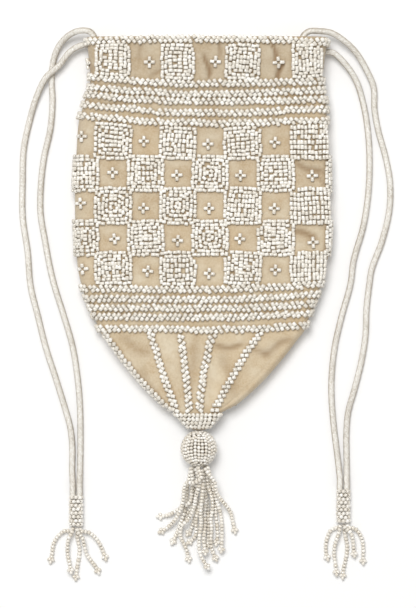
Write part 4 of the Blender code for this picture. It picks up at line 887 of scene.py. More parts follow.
def smooth_route(points, step):
    """Return points at even steps on a smooth curve through the given points."""
    points = [Vector(point) for point in points]
    ends = [points[0] * 2 - points[1]] + points + [points[-1] * 2 - points[-2]]
    fine = []
    for index in range(1, len(ends) - 2):
        before, start, end, after = ends[index - 1 : index + 3]
        first, middle, last = (start - before).length, (end - start).length, (after - end).length
        start_slope = ((start - before) / first + (end - start) / middle) / 2 * middle
        end_slope = ((end - start) / middle + (after - end) / last) / 2 * middle
        for part in range(12):
            fine.append(curve_between(start, start_slope, end, end_slope, part / 12))
    fine.append(points[-1])
    length = sum((end - start).length for start, end in zip(fine, fine[1:]))
    count = max(2, round(length / step))
    spacing = length / count
    route, walked, target = [fine[0]], 0.0, spacing
    for start, end in zip(fine, fine[1:]):
        piece = (end - start).length
        while walked + piece >= target - 1e-6 and len(route) < count:
            route.append(start.lerp(end, (target - walked) / piece))
            target += spacing
        walked += piece
    return route + [fine[-1]]


LAY_STEP = 0.8


def strand_swell(left):
    """Return how wide a strand is at a distance left to its tip: two beads side by side, then one."""
    return PICOT_SWELL if 0.8 <= left <= PICOT_LENGTH else 1.0


def spread_along(route, widths):
    """Return points along a route's straight pieces, with their widths and the lengths walked to them."""
    fine, walked = [], 0.0
    for start, end, width in zip(route, route[1:], map(max, widths, widths[1:])):
        piece = (end - start).length
        count = max(1, math.ceil(piece / LAY_STEP))
        for part in range(count):
            fine.append((start.lerp(end, part / count), width, walked + piece * part / count))
        walked += piece
    return fine + [(route[-1], widths[-1], walked)]


def lay_strand(start, route, below):
    """Return a strand's points and widths, laid on the table and over the strands in below."""
    flat = smooth_route([(start[0], start[1], 0.0)] + [(x, y, 0.0) for x, y in route], LAY_STEP)
    total = LAY_STEP * (len(flat) - 1)
    lengths = [total * index / (len(flat) - 1) for index in range(len(flat))]
    widths = [STRAND_RADIUS * strand_swell(total - length) for length in lengths]
    stride = max(1, round(STRAND_POINT_STEP / LAY_STEP))
    tail = max(len(flat) - 1 - round(PICOT_LENGTH / LAY_STEP), 1)
    chosen = [0] + list(range(2, tail, stride)) + [tail + 1, len(flat) - 2, len(flat) - 1]
    needed = []
    for point, width, length in spread_along([flat[i] for i in chosen], [widths[i] for i in chosen]):
        fall = 1 - smooth_step(0.0, STRAND_FALL, length)
        height = max(width, STRAND_RADIUS + (start[2] - STRAND_RADIUS) * fall)
        for other, other_width, _ in below:
            reach = width + other_width + STRAND_GAP
            apart = math.hypot(point.x - other.x, point.y - other.y)
            if apart < reach:
                height = max(height, other.z + math.sqrt(reach**2 - apart**2))
        needed.append((length, height))
    laid = []
    slack = STRAND_POINT_STEP / 2
    for index in chosen:
        length = lengths[index]
        height = max(z - STRAND_SLOPE * max(abs(length - other) - slack, 0.0) for other, z in needed)
        laid.append(Vector((flat[index].x, flat[index].y, height)))
    return laid, [widths[index] for index in chosen]


def moved(route, x, y):
    """Return a flat route's points moved by x and y."""
    return [(x + point_x, y + point_y) for point_x, point_y in route]


STRAND_BEAD_LENGTH = 1.9
STRAND_FINE_STEP = STRAND_PITCH / 8
# How far from a strand's end its last bead, the two side by side and the next one lie
PICOT_BEADS = (0.95, 2.4, 4.05)
PICOT_BEAD_LENGTH = 1.75
PICOT_SIDE = 0.96       # how far to the side the two beads lie
PICOT_SPLAY = 0.45      # how much they lean apart


def thread_strand(name, start, route, below, seed):
    """Thread one strand of beads that ends in two beads side by side and one at the tip."""
    laid, widths = lay_strand(start, route, below)
    below += spread_along(laid, widths)
    sewing = Sewing(seed)
    points = smooth_route(laid, STRAND_FINE_STEP)
    points.reverse()
    stride = round(STRAND_PITCH / STRAND_FINE_STEP)
    for index in range(round(PICOT_BEADS[2] / STRAND_FINE_STEP), len(points) - 2, stride):
        axis = (points[index + 2] - points[index - 2]).normalized()
        side = axis.cross(Vector((0.0, 0.0, 1.0))).normalized()
        sewing.add(points[index], axis, side.cross(axis), STRAND_BEAD_LENGTH, STRAND_BEAD, 1.15)
    end_axis = (points[0] - points[8]).normalized()
    side = end_axis.cross(Vector((0.0, 0.0, 1.0))).normalized()
    out = side.cross(end_axis)
    for way in (-1, 1):
        place = points[0] - end_axis * PICOT_BEADS[1] + side * way * PICOT_SIDE
        sewing.add(place, end_axis - side * way * PICOT_SPLAY, out, PICOT_BEAD_LENGTH, STRAND_BEAD, 0.9)
    sewing.add(points[0] - end_axis * PICOT_BEADS[0], side, out, PICOT_BEAD_LENGTH, STRAND_BEAD, 0.9)
    return sewing.make(f"{name}_beads", ROUND_BEAD, CREAM_PEARL, [name])


def make_tassel():
    """Thread the strands that hang from under the ball."""
    below = []
    for number, ((distance, angle), route) in enumerate(zip(TASSEL_STARTS, TASSEL_ROUTES), 1):
        turn = math.radians(angle)
        reach = BALL_RADIUS + STRAND_RADIUS * 0.7
        y = BALL_Y - math.sqrt(reach**2 - distance**2)
        start = (BALL_X + distance * math.cos(turn), y, BALL_RADIUS + distance * math.sin(turn))
        thread_strand(f"tassel_strand_{number}", start, moved(route, BALL_X, BALL_Y), below, 69 + number)


def make_fringe(side, sleeve, routes, seed):
    """Thread the five short strands under a sleeve."""
    end = moved(sleeve, 0.0, RIM_Y)[1]
    starts = []
    for number in range(len(routes)):
        turn = math.radians(180 + 36 + 72 * number)
        x = end[0] + FRINGE_START_RADIUS * math.cos(turn)
        starts.append((x, end[1] - 3 * SEAT_GAP, SLEEVE_RADIUS + FRINGE_START_RADIUS * math.sin(turn)))
    order = sorted(range(len(starts)), key=lambda index: starts[index][2])
    places = sorted(range(len(starts)), key=lambda index: starts[index][0])
    route_of = {}
    for number, place in enumerate(places):
        below_sleeve = (starts[place][0], end[1] - STRAND_DIAMETER)
        route_of[place] = [below_sleeve] + moved(routes[number], 0.0, RIM_Y)
    below, strands = [], []
    for number, index in enumerate(order):
        name = f"{side}_fringe_{number + 1}"
        strands.append(thread_strand(name, starts[index], route_of[index], below, seed + number))
    return strands


SLEEVE_BEAD_RING = 2.58
SLEEVE_BEADS_ROUND = 8
SLEEVE_ROW = 2.0
SLEEVE_BEAD = (2.05, STRAND_BEAD - 0.2)     # length and width
SLEEVE_SPREAD = 1.18    # how much wider than high a sleeve lies


def make_sleeve(name, sleeve, seed):
    """Weave the beaded sleeve that holds a drawstring's two ends, round the ends themselves."""
    (x, top), (_, bottom) = moved(sleeve, 0.0, RIM_Y)
    sewing = Sewing(seed)
    rows = round((top - bottom) / SLEEVE_ROW)
    for row in range(rows):
        y = top - (row + 0.5) * (top - bottom) / rows
        for step in range(SLEEVE_BEADS_ROUND):
            turn = 2 * math.pi / SLEEVE_BEADS_ROUND * (step + 0.5 * (row % 2))
            out = Vector((math.cos(turn), 0.0, math.sin(turn)))
            place = Vector((x, y, SLEEVE_RADIUS)) + out * SLEEVE_BEAD_RING
            place.x += out.x * SLEEVE_BEAD_RING * (SLEEVE_SPREAD - 1)
            place.y += sewing.chance.gauss(0.0, 0.12)
            axis = Vector((-math.sin(turn), 0.0, math.cos(turn)))
            sewing.add(place, axis, out, *SLEEVE_BEAD, 1.2)
    return sewing.make(f"{name}_beads", ROUND_BEAD, CREAM_PEARL, [name])


# Drawstrings
def loft(rings, facts=None):
    """Draw a skin through rings of points, by extruding the first ring to each of the others."""
    shape = bmesh.new()
    layers = {name: shape.verts.layers.float_vector.new(name) for name in (facts or {})}
    corners = bmesh.ops.create_circle(shape, segments=len(rings[0]), radius=1.0)["verts"]
    place_of = {corner: index for index, corner in enumerate(corners)}
    edges = shape.edges[:]
    for number, points in enumerate(rings):
        if number:
            extruded = bmesh.ops.extrude_edge_only(shape, edges=edges)["geom"]
            edges = [item for item in extruded if isinstance(item, bmesh.types.BMEdge)]
            fresh = {}
            for corner in (item for item in extruded if isinstance(item, bmesh.types.BMVert)):
                for edge in corner.link_edges:
                    if edge.other_vert(corner) in place_of:
                        fresh[corner] = place_of[edge.other_vert(corner)]
            place_of = fresh
        for corner, index in place_of.items():
            corner.co = points[index]
            for name, layer in layers.items():
                corner[layer] = facts[name][number][index]
    return shape


CORD_SIDES = 24
CORD_STEP = 0.8
CORD_TWIST = 17.0       # length in which the cord's four strands turn once
LOBE_SHARE = 0.08       # how far its strands bulge, as a share of its radius
END_NARROWING = 0.4     # how much thinner the cord's end is, drawn together in its sleeve
END_LENGTH = 3.0        # over which it grows thinner


def cord_rings(path):
    """Return a twisted cord's rings along a path, and two facts of their points.

    They are the fibre coordinates, and how far a point faces up, from -1 to 1, as X, which sets the satin's
    painted shade at the sides and underneath.
    """
    rings, fibres, lies = [], [], []
    upward = Vector((0.0, 0.0, 1.0))
    walked = 0.0
    last = len(path) - 1
    for index, point in enumerate(path):
        along = (path[min(index + 1, last)] - path[max(index - 1, 0)]).normalized()
        across = along.cross(upward).normalized()
        upward = across.cross(along)
        if index:
            walked += (point - path[index - 1]).length
        left = (last - index) * CORD_STEP
        thin = 1 - END_NARROWING * (1 - smooth_step(0.0, END_LENGTH, left))
        ring, fibre, lie = [], [], []
        for step in range(CORD_SIDES):
            turn = 2 * math.pi * step / CORD_SIDES
            strand = turn - 2 * math.pi * walked / CORD_TWIST
            lobe = math.sqrt(abs(math.cos(2 * strand)))
            reach = CORD_RADIUS * thin * (1 - LOBE_SHARE + LOBE_SHARE * lobe)
            ring.append(point + (across * math.cos(turn) + upward * math.sin(turn)) * reach)
            fibre.append(Vector((math.cos(strand), math.sin(strand), walked)))
            # how far the point faces up, which sets the satin's painted side shade
            lie.append(Vector((math.sin(turn), 0.0, 0.0)))
        rings.append(ring)
        fibres.append(fibre)
        lies.append(lie)
    return rings, {"fibre": fibres, "lie": lies}


def make_cord(name, route, sleeve_x):
    """Make a free run of a drawstring from its way out of the casing into its sleeve."""
    route = [Vector(point) for point in route]
    end = route[-1]
    inside = Vector((lerp(sleeve_x, end.x, 0.45), end.y - 2.6, end.z))
    path = smooth_route(route + [inside], CORD_STEP)
    for point in path:
        point.z = max(point.z, CORD_RADIUS)
    shape = loft(*cord_rings(path))
    bmesh.ops.holes_fill(shape, edges=[edge for edge in shape.edges if edge.is_boundary])
    bmesh.ops.recalc_face_normals(shape, faces=shape.faces)
    cord = finish_piece(shape, f"{name}_cord", SATIN, [name])
    length = sum((after - before).length for before, after in zip(path, path[1:])) * MM
    return cord


def casing_point(y, around, off):
    """Return a point of the casing, which runs straight from the mouth's edge to the hem's stitches."""
    top = ring_point(RIM_Y, around, off, soft=False)
    bottom = ring_point(STITCH_Y, around, off, soft=False)
    return top.lerp(bottom, (RIM_Y - y) / (RIM_Y - STITCH_Y))


def hem_loop(y, start, end):
    """Return a route in the casing from one around value to another."""
    count = 22
    route = []
    for step in range(count + 1):
        around = lerp(start, end, step / count) % 4
        in_fold = math.sqrt(abs(math.sin(math.pi * around))) if int(around) % 2 else 0.0
        route.append(casing_point(y, around, -CORD_OFF - FOLD_CLEARANCE * in_fold))
    return route


def on_table(route, heights):
    """Return a route's points with the heights given first, and on the table after them."""
    points = []
    for index, (x, y) in enumerate(moved(route, 0.0, RIM_Y)):
        z = heights[index] if index < len(heights) else CORD_RADIUS
        points.append(Vector((x, y, max(z, CORD_RADIUS))))
    return points


def sleeve_entry(sleeve, side):
    """Return the last two points of a cord that enters the sleeve, on one side of its axis."""
    top_x, top_y = moved(sleeve, 0.0, RIM_Y)[0]
    x = top_x + side * (CORD_RADIUS + 0.5 * SEAT_GAP)
    y = top_y + SEAT_GAP
    return [Vector((x, y + 5.0, SLEEVE_RADIUS - 0.3)), Vector((x, y, SLEEVE_RADIUS))]


def loop_end(last, before):
    """Return where a free run starts past a loop's end, and the direction it starts in."""
    along = (last - before).normalized()
    return last + along * SEAT_GAP, along


CORD_OFF = SUEDE + (CORD_DIAMETER + CASING_PLAY) / 2
FOLD_CLEARANCE = 0.5    # how much deeper a cord lies where it turns round a side fold
HOLE_RUN = 9.5          # how far inside the mouth's end a cord turns towards its hole
HOLE_REACH = 2.6        # how far outside the hole the cord runs straight
UPPER_CORD_Y = CASING_TOP_Y - CORD_RADIUS - 2 * SEAT_GAP
LOWER_CORD_Y = UPPER_CORD_Y - CORD_DIAMETER - 2 * SEAT_GAP
LEFT_HEM_AROUND = (0.065, 2.885)
RIGHT_HEM_AROUND = (0.87, 2.14)


def make_drawstrings():
    """Make the four free runs of the two drawstrings, with their sleeves and fringes."""
    left_pieces = [make_sleeve("left_sleeve", LEFT_SLEEVE, 62)]
    left_pieces += make_fringe("left", LEFT_SLEEVE, LEFT_FRINGE_ROUTES, 90)
    right_pieces = [make_sleeve("right_sleeve", RIGHT_SLEEVE, 63)]
    right_pieces += make_fringe("right", RIGHT_SLEEVE, RIGHT_FRINGE_ROUTES, 100)
    left_loop = hem_loop(UPPER_CORD_Y, *LEFT_HEM_AROUND)
    right_loop = hem_loop(LOWER_CORD_Y, RIGHT_HEM_AROUND[0], RIGHT_HEM_AROUND[1] - 4)

    middle_z = BACK_HEIGHT + MOUTH_THICKNESS / 2
    back_z = BACK_HEIGHT + CORD_OFF
    left_edge, right_edge = outline_at(RIM_Y)[:2]
    hole_rise = Vector((0.0, -0.3, 1.0))
    left_in = Vector((left_edge + HOLE_RUN, UPPER_CORD_Y, back_z))
    left_out = Vector((left_edge - HOLE_REACH, UPPER_CORD_Y, back_z)) + hole_rise
    right_in = Vector((right_edge - HOLE_RUN, LOWER_CORD_Y, back_z))
    right_out = Vector((right_edge + HOLE_REACH, LOWER_CORD_Y, back_z)) + hole_rise

    start, along = loop_end(left_loop[-1], left_loop[-2])
    outer = [start, start + along * 2.5, left_in, left_in.lerp(left_out, 0.5), left_out]
    outer += [Vector((left_edge - 8.5, LOWER_CORD_Y + 0.7, back_z + 1.0))]
    outer += on_table(LEFT_OUTER_ROUTE, (6.0, 5.7, 3.4)) + sleeve_entry(LEFT_SLEEVE, -1)
    make_cord("left_drawstring_outer", outer, LEFT_SLEEVE[0][0])

    start, along = loop_end(left_loop[0], left_loop[1])
    inner = [
        start,
        start + along * 2.5,
        start + along * 5.0,
        Vector((LEFT_MOUTH_X + 3.0, UPPER_CORD_Y - 0.3, middle_z + 1.8)),
        Vector((LEFT_MOUTH_X + 0.5, UPPER_CORD_Y + 0.8, middle_z + 0.2)),
        Vector((LEFT_MOUTH_X, RIM_Y + 0.6, middle_z)),
        Vector((LEFT_MOUTH_X - 2.4, RIM_Y + 3.3, middle_z - 0.5)),
        Vector((LEFT_MOUTH_X - 8.5, RIM_Y + 3.8, middle_z - 1.8)),
    ]
    inner += on_table(LEFT_INNER_ROUTE, (7.4, 4.6, 2.5)) + sleeve_entry(LEFT_SLEEVE, 1)
    make_cord("left_drawstring_inner", inner, LEFT_SLEEVE[0][0])

    start, along = loop_end(right_loop[0], right_loop[1])
    outer = [
        start,
        start + along * 2.5,
        start + along * 4.6 + Vector((0.0, 0.0, -1.2)),
        Vector((RIGHT_MOUTH_X - 1.2, LOWER_CORD_Y + 0.4, middle_z + 1.0)),
        Vector((RIGHT_MOUTH_X, LOWER_CORD_Y + 3.6, middle_z)),
        Vector((RIGHT_MOUTH_X + 0.4, RIM_Y + 0.6, middle_z)),
        Vector((RIGHT_MOUTH_X + 3.4, RIM_Y + 3.3, middle_z - 0.3)),
        Vector((RIGHT_MOUTH_X + 9.8, RIM_Y + 3.6, middle_z - 1.2)),
    ]
    outer += on_table(RIGHT_OUTER_ROUTE, (9.6, 8.0, 6.0, 4.2, 2.6)) + sleeve_entry(RIGHT_SLEEVE, 1)
    make_cord("right_drawstring_outer", outer, RIGHT_SLEEVE[0][0])

    start, along = loop_end(right_loop[-1], right_loop[-2])
    inner = [start, start + along * 2.5, right_in, right_in.lerp(right_out, 0.5), right_out]
    inner += on_table(RIGHT_INNER_ROUTE, (5.8, 3.4, 1.9)) + sleeve_entry(RIGHT_SLEEVE, -1)
    make_cord("right_drawstring_inner", inner, RIGHT_SLEEVE[0][0])


# The suede
HEM_EDGES = (
    (0.065, 0.05, 0.035, 0.02),
    (0.87, 0.885, 0.9, 0.915),
    (2.14, 2.125, 2.11, 2.095),
    (2.885, 2.9, 2.915, 2.93),
)
SEWN, FREE, CUT_BACK, BARE = range(4)
BARE_LIP = 0.1          # how far the suede's bare edge stands in
STITCH_DROP = 2.2       # from the lower cord to where the hem is sewn down


def hem_state(around):
    """Return how the hem is at an around value: it is left open at the side folds."""
    for edge in HEM_EDGES:
        if around in edge:
            return edge.index(around)
    in_front = HEM_EDGES[0][SEWN] < around < HEM_EDGES[1][SEWN]
    in_back = HEM_EDGES[2][SEWN] < around < HEM_EDGES[3][SEWN]
    if in_front or in_back:
        return SEWN
    return BARE


def hem_profile(state):
    """Return the height and offset of the hem's corners, from the mouth's edge to the wall inside."""
    strip_top = CASING_TOP_Y - SEAT_GAP
    if state == BARE:
        edge = [(RIM_Y, -SUEDE + 0.2), (RIM_Y - RIM_ROUND, -SUEDE)]
        lip = [(strip_top - BARE_LIP * step, -SUEDE - BARE_LIP) for step in range(5)]
        return edge + lip + [(strip_top - BARE_LIP * 6, -SUEDE), (STITCH_Y, -SUEDE)]
    inner, outer = -HEM_OFF, HEM_STRIP - HEM_OFF
    edge = [(RIM_Y, RIM_ROUND + inner), (RIM_Y - RIM_ROUND, inner)]
    ceiling = [(CASING_TOP_Y, outer), (CASING_TOP_Y, -SUEDE), (STITCH_Y, -SUEDE)]
    if state == CUT_BACK:
        end_y = strip_top + SEAT_GAP / 2
        return edge + [(end_y, inner), (strip_top, inner), (strip_top, outer), (end_y, outer)] + ceiling
    if state == FREE:
        end_y = STITCH_Y - 1.0
        return edge + [(STITCH_Y, inner), (end_y, inner), (end_y, outer), (STITCH_Y, outer)] + ceiling
    sewn_y = STITCH_Y - 0.7 * STITCH_DROP
    sewn_off = -SUEDE - SEAT_GAP
    strip = [(STITCH_Y, inner), (sewn_y, sewn_off - HEM_STRIP), (sewn_y, sewn_off), (STITCH_Y, outer)]
    return edge + strip + ceiling


def bead_shade_near(point):
    """Return the painted shade that the beads sewn so far lay on a point of the suede, from 0 to 1, by how
    closely they lie to it.
    """
    cover = 0.0
    for bead in Sewing.near(point):
        apart = (bead - point).length
        # painted shade: strong within a bead's reach, with a faint tail onto the bare strips between bands
        cover += 0.55 * (1 - smooth_step(1.0, 2.3, apart)) + 0.05 * (1 - smooth_step(1.0, 3.6, apart))
    return min(cover, 1.0)


SUEDE_MESH_STEP = 1.5
SUEDE_MESH_COUNTS = (86, 14, 60, 14)    # across the front, the right fold, the back and the left fold
FULL_SHADE_CREASE = 0.9       # depth of a wrinkle that gets the darkest painted shade


def crease_shade_at(point, around):
    """Return how deep in a wrinkle a point of the front lies, from 0 to 1, which sets the painted shade
    there.
    """
    if 1.4 < around < 3.6:
        return 0.0
    return min(max(wrinkle_depth(point.x, point.y) / FULL_SHADE_CREASE, 0.0), 1.0)


def make_suede():
    """Make the wrapped suede, with its wrinkles outside and its turned-in hem."""
    arounds = {part + step / count for part, count in enumerate(SUEDE_MESH_COUNTS) for step in range(count)}
    arounds = sorted(arounds | {around for edge in HEM_EDGES for around in edge})
    rings, painted_shades = [], []
    count = round((RIM_Y - RIM_ROUND - TIP_Y) / SUEDE_MESH_STEP)
    heights = [lerp(TIP_Y, RIM_Y - RIM_ROUND, step / count) for step in range(count + 1)]
    for y in heights:
        ring = [ring_point(y, around, 0.0) for around in arounds]
        rings.append(ring)
        # painted shade for each point: X near beads, Y in wrinkles
        dark = [(bead_shade_near(point), crease_shade_at(point, around)) for point, around in zip(ring, arounds)]
        painted_shades.append([Vector((cover, crease_shade, 0.0)) for cover, crease_shade in dark])
    rings.append([ring_point(RIM_Y, around, -0.2) for around in arounds])
    painted_shades.append(painted_shades[-1])
    profiles = [hem_profile(hem_state(around)) for around in arounds]
    for place in range(len(profiles[0])):
        corners = [(profile[place], around) for profile, around in zip(profiles, arounds)]
        rings.append([ring_point(y, around, off) for (y, off), around in corners])
    inside = [y for y in reversed(heights[4::3]) if y < STITCH_Y - 3]
    for y in inside:
        rings.append([ring_point(y, around, -SUEDE) for around in arounds])
    bare = [[Vector((0.0, 0.0, 0.0))] * len(arounds)]
    painted_shades += bare * (len(rings) - len(painted_shades))
    shape = loft(rings, {"painted_shade": painted_shades})
    bmesh.ops.holes_fill(shape, edges=[edge for edge in shape.edges if edge.is_boundary])
    bmesh.ops.recalc_face_normals(shape, faces=shape.faces)
    suede = finish_piece(shape, "suede_bag", SUEDE_FINISH, ["bag_body"])


# Materials
def new_material(name):
    """Return a material with its nodes, its links and its shader."""
    material = bpy.data.materials.new(name)
    material.use_nodes = True
    nodes, links = material.node_tree.nodes, material.node_tree.links
    return material, nodes, links, nodes["Principled BSDF"]


def add_node(nodes, kind, **values):
    """Add a node and set its properties."""
    node = nodes.new(kind)
    for name, value in values.items():
        setattr(node, name, value)
    return node


def set_inputs(node, values):
    """Set a node's inputs, given by name."""
    for name, value in values.items():
        node.inputs[name].default_value = value


def read_attribute(nodes, name):
    """Add a node that reads a mesh's attribute, and return its outputs."""
    return add_node(nodes, "ShaderNodeAttribute", attribute_name=name).outputs


def split_vector(nodes, links, vector):
    """Add a node that takes a vector apart, and return its outputs X, Y and Z."""
    parts = nodes.new("ShaderNodeSeparateXYZ")
    links.new(vector, parts.inputs[0])
    return parts.outputs


def object_place(nodes):
    """Return the socket with the place on the object."""
    return nodes.new("ShaderNodeTexCoord").outputs["Object"]


def new_group(name, inputs, outputs):
    """Return a shader node group with named sockets, its nodes, its links and its two ends."""
    group = bpy.data.node_groups.new(name, "ShaderNodeTree")
    for way, sockets in (("INPUT", inputs), ("OUTPUT", outputs)):
        for socket_name, kind in sockets:
            group.interface.new_socket(socket_name, in_out=way, socket_type=f"NodeSocket{kind}")
    start = group.nodes.new("NodeGroupInput").outputs
    end = group.nodes.new("NodeGroupOutput").inputs
    return group, group.nodes, group.links, start, end


def patches_group():
    """Make the group that spreads soft patches: grain, stains, wear and fibres all come from it."""
    numbers = [(name, "Float") for name in ("Scale", "Detail", "Roughness", "Low", "High", "Amount")]
    group, nodes, links, start, end = new_group(
        "patches", [("Place", "Vector"), *numbers], [("Mask", "Float"), ("Height", "Float")]
    )
    texture = nodes.new("ShaderNodeTexNoise")
    links.new(start["Place"], texture.inputs["Vector"])
    for name in ("Scale", "Detail", "Roughness"):
        links.new(start[name], texture.inputs[name])
    mapped = nodes.new("ShaderNodeMapRange")
    links.new(texture.outputs["Fac"], mapped.inputs["Value"])
    for name, socket in (("Low", "From Min"), ("High", "From Max"), ("Amount", "To Max")):
        links.new(start[name], mapped.inputs[socket])
    links.new(mapped.outputs["Result"], end["Mask"])
    links.new(texture.outputs["Fac"], end["Height"])
    return group


PATCHES = patches_group()


def add_patches(nodes, links, place, scale, detail, rough, low=0.0, high=1.0, amount=1.0):
    """Add soft patches and return their outputs: the mask between low and high, and the plain height."""
    patches = add_node(nodes, "ShaderNodeGroup", node_tree=PATCHES)
    links.new(place, patches.inputs["Place"])
    set_inputs(patches, {"Scale": scale, "Detail": detail, "Roughness": rough})
    set_inputs(patches, {"Low": low, "High": high, "Amount": amount})
    return patches.outputs


def add_range(nodes, links, value, low, high, to_low=0.0, to_high=1.0):
    """Add a node that maps a value from one range to another, and return its socket."""
    mapped = nodes.new("ShaderNodeMapRange")
    set_inputs(mapped, {"From Min": low, "From Max": high, "To Min": to_low, "To Max": to_high})
    links.new(value, mapped.inputs["Value"])
    return mapped.outputs["Result"]


def add_mix(nodes, links, factor, first, second, blend="MIX"):
    """Mix two colours, each a colour or a socket, by a socket or a number."""
    mix = add_node(nodes, "ShaderNodeMix", data_type="RGBA", blend_type=blend)
    for socket, value in ((mix.inputs[0], factor), (mix.inputs[6], first), (mix.inputs[7], second)):
        if isinstance(value, bpy.types.NodeSocket):
            links.new(value, socket)
        else:
            socket.default_value = (*value, 1.0) if isinstance(value, tuple) else value
    return mix.outputs[2]


def add_bump(nodes, links, height, strength, distance, shader):
    """Add a bump to a shader."""
    bump = nodes.new("ShaderNodeBump")
    set_inputs(bump, {"Strength": strength, "Distance": distance})
    links.new(height, bump.inputs["Height"])
    links.new(bump.outputs["Normal"], shader.inputs["Normal"])


def color(red, green, blue):
    """Return a colour written as 0 to 255 in linear values."""
    values = []
    for part in (red, green, blue):
        share = part / 255
        values.append(share / 12.92 if share <= 0.04045 else ((share + 0.055) / 1.055) ** 2.4)
    return tuple(values)


MOUTHWARD_DARKENING = (0.87, 0.865, 0.87)   # how much darker the suede grows towards the mouth
# The suede's patches: scale, detail, roughness, low, high, amount and the colour they bring
SUEDE_LAYERS = (
    (330, 4, 0.5, 0.4, 0.7, 0.8, color(201, 184, 155)),
    (28, 2, 0.5, 0.52, 0.7, 0.4, color(204, 179, 141)),
    (1100, 3, 0.6, 0.4, 0.62, 0.35, color(224, 210, 184)),
)


def suede_material():
    """Make tanned suede: matt, mottled, with a short nap, and painted shade between the beads and in the
    wrinkles.
    """
    material, nodes, links, shader = new_material("tan_suede")
    place = object_place(nodes)
    broad = add_patches(nodes, links, place, 75, 4, 0.6, 0.38, 0.62)["Mask"]
    tan = add_mix(nodes, links, broad, color(190, 168, 136), color(215, 202, 178))
    for *values, tint in SUEDE_LAYERS:
        tan = add_mix(nodes, links, add_patches(nodes, links, place, *values)["Mask"], tan, tint)
    # the suede darkens gradually from the cone's top up to the mouth
    toward_mouth = add_range(nodes, links, split_vector(nodes, links, place)["Y"], -0.02, 0.135)
    tan = add_mix(nodes, links, toward_mouth, tan, MOUTHWARD_DARKENING, "MULTIPLY")
    # the attribute holds painted shade: X near the beads, Y in the wrinkles
    cover = split_vector(nodes, links, read_attribute(nodes, "painted_shade")["Vector"])
    # painted shade in the wrinkles: a dark brown laid into the folds
    crease_shade = add_range(nodes, links, cover["Y"], 0.0, 1.0, 0.0, 0.85)
    tan = add_mix(nodes, links, crease_shade, tan, color(140, 112, 80))
    # painted shade on the suede where beads lie close
    shaded = add_mix(nodes, links, cover["X"], tan, color(158, 136, 107))
    links.new(shaded, shader.inputs["Base Color"])
    set_inputs(shader, {"Roughness": 0.92, "Specular IOR Level": 0.25})
    set_inputs(shader, {"Sheen Weight": 0.25, "Sheen Roughness": 0.5})
    nap = add_patches(nodes, links, place, 1900, 5, 0.65)["Height"]
    add_bump(nodes, links, nap, 0.35, 0.0004, shader)
    return material


def bead_tone_group():
    """Make the group that colours beads: a tone for each bead, and cloudy patches over them."""
    sockets = [("Tone", "Float"), ("Patch", "Float"), ("Light", "Color"), ("Dark", "Color")]
    group, nodes, links, start, end = new_group("bead_tones", sockets, [("Color", "Color")])
    bead = add_mix(nodes, links, start["Tone"], start["Light"], start["Dark"])
    links.new(add_mix(nodes, links, start["Patch"], bead, start["Dark"]), end["Color"])
    return group


BEAD_TONES = bead_tone_group()


def pearl_material(name, light, dark, roughness):
    """Make satin glass beads, each in a tone of its own."""
    material, nodes, links, shader = new_material(name)
    bead = add_node(nodes, "ShaderNodeGroup", node_tree=BEAD_TONES)
    set_inputs(bead, {"Light": (*light, 1.0), "Dark": (*dark, 1.0)})
    cloudy = add_patches(nodes, links, object_place(nodes), 120, 2, 0.5, 0.4, 0.7, 0.5)["Mask"]
    links.new(cloudy, bead.inputs["Patch"])
    links.new(read_attribute(nodes, "bead_tone")["Fac"], bead.inputs["Tone"])
    links.new(bead.outputs["Color"], shader.inputs["Base Color"])
    set_inputs(shader, {"Roughness": roughness, "Specular IOR Level": 0.7})
    set_inputs(shader, {"Coat Weight": 0.35, "Coat Roughness": 0.12})
    return material


def satin_material():
    """Make ivory satin cord: bright fibres that run with the twist, greyer in grooves, with painted shade on
    its sides and underside.
    """
    material, nodes, links, shader = new_material("ivory_satin")
    stretch = nodes.new("ShaderNodeMapping")
    set_inputs(stretch, {"Scale": (3.4, 3.4, 0.4)})
    links.new(read_attribute(nodes, "fibre")["Vector"], stretch.inputs["Vector"])
    threads = add_patches(nodes, links, stretch.outputs["Vector"], 2.2, 4, 0.6, 0.42, 0.6)
    lines = threads["Mask"]
    worn = add_patches(nodes, links, object_place(nodes), 70, 2, 0.5, 0.42, 0.68)["Mask"]
    bright = add_mix(nodes, links, lines, color(216, 209, 195), color(255, 254, 250))
    dull = add_mix(nodes, links, lines, color(188, 179, 163), color(250, 247, 240))
    # painted shade for the cord's sides and underside
    sides = add_mix(nodes, links, lines, color(144, 130, 108), color(206, 194, 174))
    top = add_mix(nodes, links, worn, bright, dull)
    lie = split_vector(nodes, links, read_attribute(nodes, "lie")["Vector"])
    # painted shade fades out where the cord faces up
    on_top = add_range(nodes, links, lie["X"], 0.25, 0.8)
    links.new(add_mix(nodes, links, on_top, sides, top), shader.inputs["Base Color"])
    set_inputs(shader, {"Roughness": 0.32, "Specular IOR Level": 0.9})
    add_bump(nodes, links, threads["Height"], 0.7, 0.0006, shader)
    return material


def plain_material(name, tint, roughness):
    """Make a plain finish with a faint grain."""
    material, nodes, links, shader = new_material(name)
    grain = add_patches(nodes, links, object_place(nodes), 600, 3, 0.5)["Mask"]
    darker = tuple(part * 0.7 for part in tint)
    links.new(add_mix(nodes, links, grain, tint, darker), shader.inputs["Base Color"])
    set_inputs(shader, {"Roughness": roughness})
    return material


SUEDE_FINISH = suede_material()
PEARL = pearl_material("silver_white_pearl", color(250, 247, 240), color(220, 213, 200), 0.2)
CREAM_PEARL = pearl_material("cream_pearl", color(254, 251, 245), color(222, 214, 200), 0.16)
SATIN = satin_material()
WOOD = plain_material("turned_wood", color(150, 128, 98), 0.7)
THREAD = plain_material("white_thread", color(222, 214, 198), 0.6)


